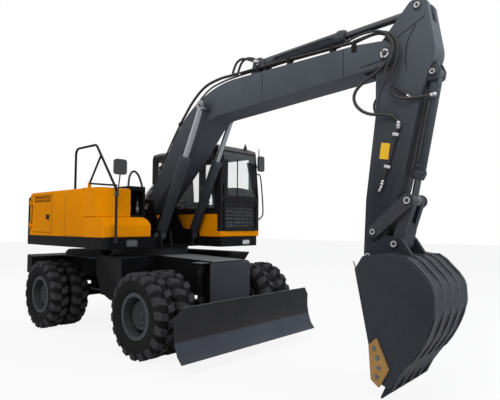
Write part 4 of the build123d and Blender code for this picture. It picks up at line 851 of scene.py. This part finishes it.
# Rings: across from the machine's middle plane, radius
RIM_RING = ((1.2015, 0.272), (1.2065, 0.275), (1.2065, 0.281), (1.2015, 0.284), (1.1985, 0.282), (1.1985, 0.274))
HUB_COVER = ((0.966, 0.192), (1.090, 0.188), (1.116, 0.182), (1.126, 0.174), (1.127, 0.170), (1.127, 0.140),
             (1.120, 0.136), (1.120, 0.131), (1.129, 0.127), (1.129, 0.074), (1.122, 0.071), (1.122, 0.066),
             (1.134, 0.062), (1.136, 0.020))
HUB_RINGS = (3, 6, 9)
# Nuts, studs and hub bolts: across, circle, count, radius, height, sides
WHEEL_BOLTS = ((0.968, 0.214, 10, 0.016, 0.022, 6), (0.988, 0.214, 10, 0.009, 0.014, 10),
               (1.1035, 0.098, 8, 0.009, 0.009, 6))
COVER_BOLTS = (1.126, 0.152, 12, 0.008, 0.010, 6)


def spin_point(y, radius, degrees):
    turn = math.radians(degrees)
    return Vector((radius * math.sin(turn), y, radius * math.cos(turn)))


def spun(mesh, profile, centre, hand):
    """Rings of vertices about the axle for a profile of (across, radius)."""
    return [[mesh.verts.new(centre + spin_point(hand * y, r, 360 * i / TURNS)) for i in range(TURNS)]
            for y, r in profile]


def add_lug(mesh, middle, side, hand, start):
    """One lug from the tread's middle outward, with its sides and top in the tread's look."""
    rings = []
    for y, low, high, shift, wide in LUG_PATH:
        centre, across = start + hand * shift, middle + side * y
        corners = ((low - LUG_SUNK, -wide), (high, LUG_TAPER - wide), (high, wide - LUG_TAPER), (low - LUG_SUNK, wide))
        rings.append([mesh.verts.new(spin_point(across, r, centre + turn)) for r, turn in corners])
    for band in skin(mesh, rings, caps=True):
        for face in band[:3]:
            face.material_index = 1


def add_tyre(mesh, middle, phase, hand):
    """One tyre about the Y axis, with block lugs in two rows; hand turns the chevron."""
    profile = list(CARCASS) + [(-y, r) for y, r in reversed(CARCASS)]
    rows = spun(mesh, [(middle + y, r) for y, r in profile], Vector(), 1)
    for band in skin(mesh, rows + rows[:1]):
        for face in band:
            face.smooth = True
    for side in (1, -1):
        for index in range(LUGS):
            add_lug(mesh, middle, side, hand, phase + index * LUG_STEP + (LUG_STEP / 2 if side < 0 else 0))


def ring_of_bolts(mesh, centre, hand, phase, y, reach, count, radius, tall, sides):
    """Bolts in a circle about an axle, pointing outward."""
    for index in range(count):
        seat = centre + spin_point(hand * y, reach, 360 / count * index + phase)
        add_rod(mesh, seat, seat + Vector((0, hand * tall, 0)), radius, sides)


for wheel, axle_x, hand, phase in WHEELS:
    body = "wheel_" + wheel
    centre = Vector((axle_x - AHEAD, 0, AXLE_HEIGHT))
    mesh = bmesh.new()
    for offset, turned in ((-TWIN_HALF_PITCH, 0), (TWIN_HALF_PITCH, 9)):
        add_tyre(mesh, hand * (TWIN_MIDDLE + offset), phase + turned, hand)
    outward(mesh)
    bmesh.ops.translate(mesh, vec=centre, verts=mesh.verts)
    tyres = from_mesh("tyres_lugged_" + wheel, mesh, RUBBER, body)
    tyres.data.materials.append(TREAD)
    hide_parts("tyres_" + wheel)

    # Wheel nuts with their studs, bolts on the hub's end, and the ring at the rim's edge in lighter paint as a painted
    # highlight
    mesh = bmesh.new()
    for bolts in WHEEL_BOLTS:
        ring_of_bolts(mesh, centre, hand, phase, *bolts)
    from_mesh("wheel_nuts_" + wheel, mesh, STEEL, body)
    mesh = bmesh.new()
    rows = spun(mesh, RIM_RING, centre, hand)
    for band in skin(mesh, rows + rows[:1]):
        for face in band:
            face.smooth = True
    outward(mesh)
    from_mesh("rim_painted_highlight_" + wheel, mesh, RIM_HIGHLIGHT, body)


# Guard grille before the lower windscreen
def rounded(y_low, y_high, z_low, z_high, radius):
    """Loop (y, z) of a rectangle with rounded corners."""
    left, right, low, high = y_low + radius, y_high - radius, z_low + radius, z_high - radius
    points = []
    for y, z, first in ((right, high, 0), (left, high, 90), (left, low, 180), (right, low, 270)):
        for step in range(7):
            turn = math.radians(first + 15 * step)
            points.append((y + radius * math.cos(turn), z + radius * math.sin(turn)))
    return points


def facing_plate(mesh, x0, x1, outer, inner=None):
    """Plate between two x planes from (y, z) loops, with a hole of as many points."""
    loops = [[[mesh.verts.new(at(x, y, z)) for y, z in loop] for x in (x0, x1)] for loop in (outer, inner) if loop]
    for pair in loops:
        skin(mesh, pair)
    for side in (0, 1):
        if inner:
            skin(mesh, (loops[0][side], loops[1][side]))
        else:
            mesh.faces.new(loops[0][side])
    outward(mesh)


mesh = bmesh.new()
facing_plate(mesh, 1207, 1233, rounded(430, 1190, 1550, 2036, 55), rounded(464, 1156, 1584, 2002, 30))
facing_plate(mesh, 1211, 1219, rounded(450, 1170, 1915, 2016, 20))
for z in range(1598, 1874, 55):
    pegs(mesh, ((1217, 447, z), (1217, 1173, z), 0.0065, 10))
for y in range(540, 1081, 90):
    pegs(mesh, ((1226, y, 1567), (1226, y, 1925), 0.0055, 10))
for y in (444, 1176):
    for z in (1620, 1960):
        pegs(mesh, ((1231, y, z), (1240, y, z), 0.009, 6))
from_mesh("cab_guard", mesh, RAIL_BLACK, "upper")

# Headlamps on the deck's front edges: name, x, y low and high, z low and high, face
for name, x, y0, y1, z0, z1, face in (
    ("left", CAB_FRONT, 850, 1010, 1340, 1404, LAMP),
    ("right", DECK_FRONT, -912, -752, 1342, 1417, DARK_LAMP),
):
    mesh = bmesh.new()
    facing_plate(mesh, x + 0.3, x + 14, rounded(y0 - 12, y1 + 12, z0 - 12, z1 + 12, 22),
                 rounded(y0, y1, z0, z1, 14))
    facing_plate(mesh, x + 0.3, x + 4, rounded(y0 + 1, y1 - 1, z0 + 1, z1 - 1, 14))
    from_mesh(f"lamp_housing_{name}", mesh, MOULDING, "upper")
    mesh = bmesh.new()
    facing_plate(mesh, x + 5, x + 11, rounded(y0 + 2, y1 - 2, z0 + 2, z1 - 2, 14))
    rim = [edge for edge in mesh.edges if edge.calc_face_angle(0) > 1]
    bmesh.ops.bevel(mesh, geom=rim, offset=0.002, segments=2, affect="EDGES")
    from_mesh(f"lamp_lens_{name}", mesh, face, "upper")

# Grab rail with its feet, antenna and wiper on the cab
GRAB_RAIL = ((1128, 1257, 2480), (1190, 1262, 2476), (1222, 1278, 2440), (1262, 1300, 1850), (1240, 1286, 1760),
             (1160, 1257, 1716))
pipe("cab_grab_rail", places(GRAB_RAIL), 0.011, "upper", RAIL_BLACK, "mirror_plastic")
mesh = bmesh.new()
for x, z in ((1128, 2480), (1160, 1716)):
    slab(mesh, (x - 18, x + 18), (1245.4, 1262), (z - 26, z + 26), 0.004)
pegs(mesh, ((1246, 1200, 2752), (1246, 1200, 2845), 0.008, 12), ((1246, 1200, 2845), (1246, 1200, 2892), 0.0055, 12))
from_mesh("cab_rail_feet", mesh, RAIL_BLACK, "upper")
mesh = bmesh.new()
pegs(mesh, ((1196, 750, 2130), (1184, 750, 2690), 0.006, 10))
slab(mesh, (1188, 1197), (741, 759), (2180, 2660), 0.002)
pegs(mesh, ((1200, 750, 2050), (1214, 750, 2050), 0.022, 20), ((1206, 750, 2050), (1192, 750, 2200), 0.007, 10))
from_mesh("wiper", mesh, RAIL_BLACK, "upper")


# Wear ribs round the back of the bucket
def ridge(mesh, line, section, x_limit=math.inf):
    """Ridge along an (x, z) line; section gives (out, y) corners for an end or an inner point of the line."""
    spots = [Vector(spot) for spot in line]
    last = len(spots) - 1
    rows = []
    for index, spot in enumerate(spots):
        ahead = (spots[min(index + 1, last)] - spots[max(index - 1, 0)]).normalized()
        out = Vector((-ahead.y, ahead.x))
        corners = [(spot + out * lift, y) for lift, y in section(0 < index < last)]
        rows.append([mesh.verts.new(at(min(spot.x, x_limit), y, spot.y)) for spot, y in corners])
    skin(mesh, rows, caps=True)


RIB_LINE = ((4300, 1356), (4400, 1340), (4470, 1294), (4530, 1230), (4590, 1168), (4630, 1105), (4652, 1030),
            (4657, 950), (4650, 870), (4628, 780), (4598, 700), (4560, 620), (4510, 530), (4450, 445), (4400, 375))
RIB_HALF, RIB_SUNK, RIB_PROUD, RIB_END = 20, -30, 14, -4


def rib_section(y):
    def section(inner):
        top = RIB_PROUD if inner else RIB_END
        return (RIB_SUNK, y - RIB_HALF), (top, y - RIB_HALF), (top, y + RIB_HALF), (RIB_SUNK, y + RIB_HALF)
    return section


for number, y in enumerate((-400, -200, 0, 200, 400)):
    mesh = bmesh.new()
    ridge(mesh, RIB_LINE, rib_section(y), BUCKET_BACK)
    outward(mesh)
    from_mesh(f"bucket_rib_{number}", mesh, DARK, "bucket")

# Bolts with washers on the side cutters
mesh = bmesh.new()
for hand in (-1, 1):
    face = hand * (BUCKET_SIDE + 22)
    for x, z in ((4105, 498), (4138, 420), (4150, 330), (4130, 245)):
        for tall, radius, sides in ((11, 0.017, 6), (4, 0.022, 24)):
            pegs(mesh, ((x, face, z), (x, face + hand * tall, z), radius, sides))
from_mesh("cutter_bolts", mesh, STEEL, "bucket")

# Bolts along the deck's sides and front
mesh = bmesh.new()
for x in range(-1500, 601, 300):
    for hand in (-1, 1):
        pegs(mesh, ((x, hand * HALF_WIDTH, 1345), (x, hand * (HALF_WIDTH + 8), 1345), 0.011, 6))
for y in (-1165, -1000, 480, 640, 1130):
    x = DECK_FRONT if y < 0 else CAB_FRONT
    pegs(mesh, ((x, y, 1390), (x + 9, y, 1390), 0.012, 6))
from_mesh("deck_bolts", mesh, RAIL_BLACK, "upper")


def lock(name, hand, body):
    """Recessed paddle lock of a side door: tray, paddle and key barrel."""
    x, z, side = -970, 1750, hand * HALF_WIDTH
    near, far = side + hand * 3, side + hand * 9
    mesh = bmesh.new()
    slab(mesh, (x - 58, x + 58), (side, side + hand * 4), (z - 38, z + 38), 0.003)
    slab(mesh, (x - 40, x + 26), (near, far), (z - 22, z + 22), 0.003)
    pegs(mesh, ((x + 41, near, z), (x + 41, far, z), 0.009, 16))
    from_mesh(name, mesh, RAIL_BLACK, body)


lock("door_lock_right", -1, "side_door_right")
lock("door_lock_left", 1, "side_door_left")

# Stepped hub covers with pressed rings in lighter paint as a painted highlight, and a circle of bolts
for wheel, axle_x, hand, phase in WHEELS:
    centre = Vector((axle_x - AHEAD, 0, AXLE_HEIGHT))
    mesh = bmesh.new()
    rows = spun(mesh, HUB_COVER, centre, hand)
    for number, band in enumerate(skin(mesh, rows)):
        for face in band:
            face.smooth = number not in HUB_RINGS
            face.material_index = 1 if number in HUB_RINGS else 0
    mesh.faces.new(rows[-1])
    ring_of_bolts(mesh, centre, hand, phase, *COVER_BOLTS)
    outward(mesh)
    cover = from_mesh("hub_cover_" + wheel, mesh, RIM, "wheel_" + wheel)
    cover.data.materials.append(RIM_HIGHLIGHT)


def seam(name, hand, strips):
    """Narrow dark joints between the body's panels: x low, x high, z low, z high."""
    mesh = bmesh.new()
    for x0, x1, z0, z1 in strips:
        slab(mesh, (x0, x1), (hand * (HALF_WIDTH + 0.2), hand * (HALF_WIDTH + 1)), (z0, z1))
    from_mesh(name, mesh, BLACK, "upper")


seam("seams_right", -1, ((-413, -408, 1466, 2100), (-846, -841, 1466, 2100), (-413, 128, 1470, 1473)))
seam("seams_left", 1, ((-846, -841, 1466, 2100), (-700, -696, 1466, 2100)))

# Hose arch over the valve block, and hoses that run from the upper works to the boom at its foot
ARCH = ((300, -640, 2150), (300, -640, 2240), (270, -600, 2380), (250, -520, 2450), (240, -430, 2400),
        (250, -380, 2270), (230, -330, 2140), (160, -290, 1980))
pipe("tank_hose_arch", places(ARCH), 0.016, "upper")
FOOT_BEND = {"other": "boom", "start": at(-60, 0, 1720), "end": at(180, 0, 2200)}
# Name, y on the boom, y at the deck, radius
FOOT_HOSES = (("foot_hose_outer", -168, -150, 0.016), ("foot_hose_inner", -120, -70, 0.014),
              ("foot_hose_left", 150, 120, 0.016), ("foot_hose_left_inner", 112, 60, 0.014))
for name, y, y_low, radius in FOOT_HOSES:
    points = route(((0.30, 46), (0.22, 50), (0.12, 90)), y)
    points += places(((60, y, 2010), (-20, (y + y_low) / 2, 1860), (-70, y_low, 1720), (-90, y_low, 1560)))
    pipe(name, points, radius, "upper", **FOOT_BEND)
mesh = bmesh.new()
for y in (-168, -120, 112, 150):
    fitting(mesh, *route(((0.30, 46), (0.25, 48)), y), 0.016)
from_mesh("foot_fittings", mesh, SILVER, "boom", True)

# Valve spools, with a hose from each, in the opening before the tank
VALVE_YS = (-700, -560)
mesh = bmesh.new()
fitting(mesh, at(300, -640, 2190), at(300, -640, 2120), 0.017)
for y in VALVE_YS:
    pegs(mesh, ((420, y, 1790), (420, y, 1900), 0.034, 24), ((420, y, 1900), (420, y, 1920), 0.026, 6))
    fitting(mesh, at(420, y, 1920), at(420, y, 1975), 0.018)
from_mesh("valve_fittings", mesh, STEEL, "upper", True)
for number, y in enumerate(VALVE_YS):
    points = places(((420, y, 1970), (420, y, 2020), (380, y + 20, 2060), (320, y + 30, 2040), (290, y + 20, 1980),
                     (280, y, 1900), (280, y, 1800)))
    pipe(f"valve_hose_{number}", points, 0.015, "upper")

# Stub on the cab's roof
mesh = bmesh.new()
pegs(mesh, ((1135, 990, 2850), (1135, 990, 2896), 0.028, 24), ((1135, 990, 2890), (1135, 990, 2940), 0.014, 16))
from_mesh("roof_stub", mesh, CAB_BLACK, "upper")


# Seat pads on a moulded base, with arm rests and levers
def cushion(name, low, high, tilt=0.0):
    """Crowned pad between two corners: superellipse section, fuller in the middle, with two sewn channels."""
    size = Vector([b - a for a, b in zip(low, high)])
    middle = Vector([(a + b) / 2 for a, b in zip(low, high)])
    thin = min(range(3), key=lambda axis: size[axis])
    wide = [axis for axis in range(3) if axis != thin]
    mesh = bmesh.new()
    bmesh.ops.create_cube(mesh, size=2.0)
    bmesh.ops.subdivide_edges(mesh, edges=mesh.edges, cuts=15, use_grid_fill=True)
    for vert in mesh.verts:
        u, v, w = vert.co[wide[0]], vert.co[wide[1]], vert.co[thin]
        edges = [(1 - abs(value) ** 6) ** (1 / 6) if abs(value) < 1 else 0 for value in (u, v)]
        plump = 0.45 + 0.55 * min(1, edges[0]) * min(1, edges[1])
        crown = 0.1 * (1 - u * u) * (1 - v * v)
        channel = sum(0.05 * math.exp(-((v - line) / 0.045) ** 2) for line in (-0.4, 0.4))
        pull = 1 - 0.04 * abs(u * v) ** 2
        vert.co[wide[0]] = u * pull * size[wide[0]] / 2
        vert.co[wide[1]] = v * pull * size[wide[1]] / 2
        vert.co[thin] = w * (plump + crown - channel) * size[thin] / 2
    if tilt:
        bmesh.ops.rotate(mesh, cent=(0, 0, 0), matrix=Matrix.Rotation(tilt, 3, "Y"), verts=mesh.verts)
    bmesh.ops.translate(mesh, vec=middle, verts=mesh.verts)
    piece = from_mesh(name, mesh, FABRIC, "upper", True)
    return piece


BACK_TILT = math.radians(-4)
bottom = cushion("seat_cushion", at(-90, 585, 1820), at(325, 1045, 1925))
cushion("seat_back", at(-235, 595, 1935), at(-135, 1035, 2440), tilt=BACK_TILT)
cushion("seat_head", at(-265, 700, 2455), at(-185, 930, 2580), tilt=BACK_TILT)
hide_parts("seat")
mesh = bmesh.new()
for xs, ys, zs, bevel in (
    ((-110, 60), (700, 930), (1506, 1720), 0.02),
    ((-170, 250), (620, 1010), (1720, 1765), 0.015),
    ((-120, 300), (600, 1030), (1765, 1818), 0.02),
    ((-262, -236), (620, 1010), (1830, 2400), 0.012),
):
    slab(mesh, xs, ys, zs, bevel)
for y in (740, 890):
    pegs(mesh, ((-236, y, 2400), (-240, y, 2480), 0.008, 12))
for y in (545, 1062):
    slab(mesh, (-200, 190), (y, y + 50), (2010, 2050), 0.016)
    slab(mesh, (-215, -150), (y + 5, y + 45), (1800, 2012), 0.012)
    slab(mesh, (120, 240), (y - 20, y + 60), (1730, 1995), 0.02)
    pegs(mesh, ((180, y + 20, 1995), (190, y + 20, 2110), 0.010, 12),
         ((188, y + 20, 2095), (193, y + 20, 2170), 0.020, 16))
from_mesh("seat_frame", mesh, DASH, "upper")

# Console, monitor, rear cabinet, floor mat and pedals
mesh = bmesh.new()
for xs, ys, zs, bevel in (
    ((950, 1060), (430, 520), (1790, 2100), 0.015),
    ((930, 990), (440, 600), (2100, 2230), 0.012),
    ((-480, -300), (440, 1190), (1510, 2060), 0.02),
    ((330, 1120), (560, 1180), (1508, 1522), 0.004),
):
    slab(mesh, xs, ys, zs, bevel)
for y in (760, 870):
    slab(mesh, (880, 1010), (y - 40, y + 40), (1560, 1580), 0.006)
    pegs(mesh, ((905, y, 1580), (890, y, 1800), 0.011, 12))
from_mesh("cab_trim", mesh, DASH, "upper")


# Glands, ports and feed pipes of the cylinders, on the right of their barrels
def cylinder_trim(name, pin, other, radius, length, foot, body):
    """Stepped gland with bolts at the barrel's mouth, two ports and a pipe; foot is the lower port's share."""
    reach = math.dist(pin, other)
    way = ((other[0] - pin[0]) / reach, (other[1] - pin[1]) / reach)

    def spot(run, y=0.0, out=0.0):
        return at(pin[0] + way[0] * run - way[1] * out, y, pin[1] + way[1] * run + way[0] * out)

    mesh = bmesh.new()
    add_rod(mesh, spot(length - 64), spot(length - 30), radius / 1000 + 0.011, 32)
    add_rod(mesh, spot(length - 30), spot(length + 22), radius / 1000 - 0.002, 32)
    for index in range(8):
        turn = math.radians(45 * index + 22)
        out, y = (radius + 5) * math.cos(turn), (radius + 5) * math.sin(turn)
        add_rod(mesh, spot(length - 31, y, out), spot(length - 23, y, out), 0.007, 6)
    ports = (length - 118, length * foot)
    for run in ports:
        add_rod(mesh, spot(run, 8 - radius), spot(run, -radius - 14), 0.020, 20)
    from_mesh(name + "_gland", mesh, DARK, body)
    points = [spot(run, -radius - 22) for run in (length - 150, length - 200, length * 0.6, ports[1] + 60)]
    ends = [spot(run, -radius - 8) for run in ports]
    pipe(name + "_pipe", [ends[0]] + points + [ends[1]], 0.010, body)


cylinder_trim("arm_cylinder", ARM_CYLINDER_PIN, ARM_EYE_PIN, 70, 1200, 0.2, "arm_barrel")
cylinder_trim("bucket_cylinder", BUCKET_CYLINDER_PIN, JOINT_PIN, 60, 1010, 0.24, "bucket_barrel")

# Upright weld seams on the boom's sides, and the bracket at the handrail's foot
mesh = bmesh.new()
for hand in (-1, 1):
    for x, z0, z1 in ((2496, 3160, 3538), (3640, 3224, 3528)):
        slab(mesh, (x - 4, x + 4), (hand * (BOOM_SIDE - 0.4), hand * (BOOM_SIDE + 1.4)), (z0, z1), 0.0006)
from_mesh("boom_seams", mesh, BLACK, "boom")
mesh = bmesh.new()
slab(mesh, (0, 38), (-1120, -1084), (2146, 2238), 0.004)
from_mesh("rail_bracket", mesh, ORANGE, "upper")

# Coiled guard round the outer foot hose: nine turns of twelve steps
COIL_STEPS, COIL_TURN, COIL_RADIUS, COIL_SAG = 108, 12, 0.023, 0.012
low, high = at(62, -168, 2040), at(208, -168, 2196)
way = (high - low).normalized()
over = Vector((-way.z, 0, way.x))
coil = []
for step in range(COIL_STEPS + 1):
    turn = step / COIL_TURN * 2 * math.pi
    middle = low.lerp(high, step / COIL_STEPS) + over * COIL_SAG * math.sin(math.pi * step / COIL_STEPS)
    coil.append(middle + over * COIL_RADIUS * math.cos(turn) + Vector((0, COIL_RADIUS * math.sin(turn), 0)))
pipe("foot_coil", coil, 0.006, "upper", WHITE, "mirror_plastic", **FOOT_BEND)


# Edges of welded plates on the boom, the stick and the bucket
def welds(name, body, side, lines, width, material=BLACK):
    """Low ridges along (x, z) lines on both sides of a piece."""
    mesh = bmesh.new()
    for hand in (-1, 1):
        foot, top = hand * (side - 1), hand * (side + 2.5)
        section = ((-width / 2, foot), (-width / 4, top), (width / 4, top), (width / 2, foot))
        for line in lines:
            ridge(mesh, line, lambda inner: section)
    outward(mesh)
    from_mesh(name, mesh, material, body)


welds("stick_welds", "stick", STICK_SIDE, (
    ((4195, 3500), (4350, 3578), (4500, 3656)),
    ((4414, 3596), (4345, 3490), (4314, 3404), (4305, 3280), (4312, 3153)),
    ((4173, 3181), (4120, 3125), (4076, 3062), (4040, 3000), (4020, 2938), (4005, 2814)),
), 14)
welds("boom_slot", "boom", BOOM_SIDE, (((3845, 3276), (4106, 3300)),), 16)
welds("bucket_welds", "bucket", BUCKET_SIDE, (((3890, 1290), (4060, 830)),), 12, DARK)

# Pipe brackets at the boom's tip
mesh = bmesh.new()
for hand in (-1, 1):
    face = hand * (BOOM_SIDE + 8)
    slab(mesh, (3742, 3802), (hand * (BOOM_SIDE - 2), face), (3462, 3572), 0.003)
    slab(mesh, (3742, 3802), (hand * (BOOM_SIDE - 40), face), (3566, 3578), 0.003)
    for z in (3485, 3520):
        pegs(mesh, ((3772, face - hand, z), (3772, face + hand * 8, z), 0.010, 6))
from_mesh("boom_end_brackets", mesh, BLACK, "boom")

# Rails on brackets along the chassis: x low, x high, z
mesh = bmesh.new()
for hand in (-1, 1):
    for x0, x1, z in ((-1060, -60, 1098), (-1000, -300, 614)):
        slab(mesh, (x0, x1), (hand * 585, hand * 612), (z - 15, z + 15), 0.006)
        for x in (x0 + 60, x1 - 60):
            slab(mesh, (x - 12, x + 12), (hand * 420, hand * 600), (z - 12, z + 12), 0.003)
from_mesh("chassis_rails", mesh, GUARD, "chassis")

# Dash hood and pillar trim behind the windscreen
mesh = bmesh.new()
facing_plate(mesh, 1150, 1186, ((450, 2016), (1160, 2016), (1160, 2150), (1100, 2186), (960, 2212), (813, 2221),
                                (640, 2216), (450, 2196)))
facing_plate(mesh, 1156, 1190, ((402, 2036), (530, 2036), (540, 2200), (545, 2560), (540, 2640), (402, 2640)))
facing_plate(mesh, 1156, 1190, ((1128, 2150), (1196, 2150), (1196, 2640), (1000, 2640), (1016, 2590)))
from_mesh("cab_front_trim", mesh, RAIL_BLACK, "upper")

# Stage. Lamps: name, place, aim, size in metres, power in watts, colour
LAMPS = (
    ("key", (3.5, -6.5, 9.5), (0, 0, 1.2), 6.0, 570.0, (1.0, 0.98, 0.95)),
    ("fill", (9.0, 3.0, 5.0), (0.5, 0, 1.2), 6.0, 400.0, (0.94, 0.97, 1.0)),
    ("rear", (-8.0, 4.0, 7.5), (-1, 0, 1.5), 6.0, 260.0, (1.0, 1.0, 1.0)),
    ("left_side", (-5.0, -8.0, 3.5), (-1, 0, 1.2), 4.0, 25.0, (1.0, 0.99, 0.97)),
)
SKY_COLOUR, SKY_STRENGTH = (0.86, 0.90, 1.0, 1), 0.42
FLOOR_GLOW = 0.88


def make_world():
    """White to the camera and in reflections and glass, a soft sky as light."""
    world = bpy.data.worlds.new("studio")
    bpy.context.scene.world = world
    world.use_nodes = True
    graph = Graph(world.node_tree)
    graph.nodes.clear()
    soft = graph.add("Background", {"Color": SKY_COLOUR, "Strength": SKY_STRENGTH})
    white = graph.add("Background", {"Color": (1, 1, 1, 1), "Strength": 1.0})
    path = graph.add("LightPath").outputs
    seen = graph.math("MAXIMUM", path["Is Camera Ray"], path["Is Glossy Ray"])
    share = graph.math("MAXIMUM", seen, path["Is Transmission Ray"])
    both = graph.add("MixShader", {"Fac": share, 1: soft.outputs["Background"], 2: white.outputs["Background"]})
    graph.add("OutputWorld", {"Surface": both.outputs["Shader"]})


def make_floor():
    """White floor that glows to the camera and still takes the machine's shadow."""
    mesh = bmesh.new()
    bmesh.ops.create_grid(mesh, x_segments=1, y_segments=1, size=40.0)
    data = to_data("floor", mesh)
    floor = stand("floor", data)
    floor.location = (0, 0, -0.002)
    material, graph, shader = new_material("floor_paint")
    tone = graph.ramp(graph.noise(0.8, 2.0), 0.3, (0.80, 0.80, 0.80), 0.7, (0.84, 0.84, 0.84))
    graph.feed(shader, {"Base Color": tone, "Roughness": 0.9})
    glow = graph.add("Emission").outputs["Emission"]
    share = graph.math("MULTIPLY", graph.add("LightPath").outputs["Is Camera Ray"], FLOOR_GLOW)
    blend = graph.add("MixShader", {"Fac": share, 1: shader.outputs["BSDF"], 2: glow})
    graph.feed(graph.nodes["Material Output"], {"Surface": blend.outputs["Shader"]})
    data.materials.append(material)


def make_lamps():
    for name, place, aim, size, power, colour in LAMPS:
        lamp = bpy.data.lights.new(name, "AREA")
        lamp.energy = power
        lamp.size = size
        lamp.color = colour
        holder = stand(name, lamp)
        holder.location = place
        holder.rotation_euler = (Vector(aim) - Vector(place)).to_track_quat("-Z", "Y").to_euler()


make_world()
make_floor()
make_lamps()
bpy.context.scene.view_settings.view_transform = "Standard"
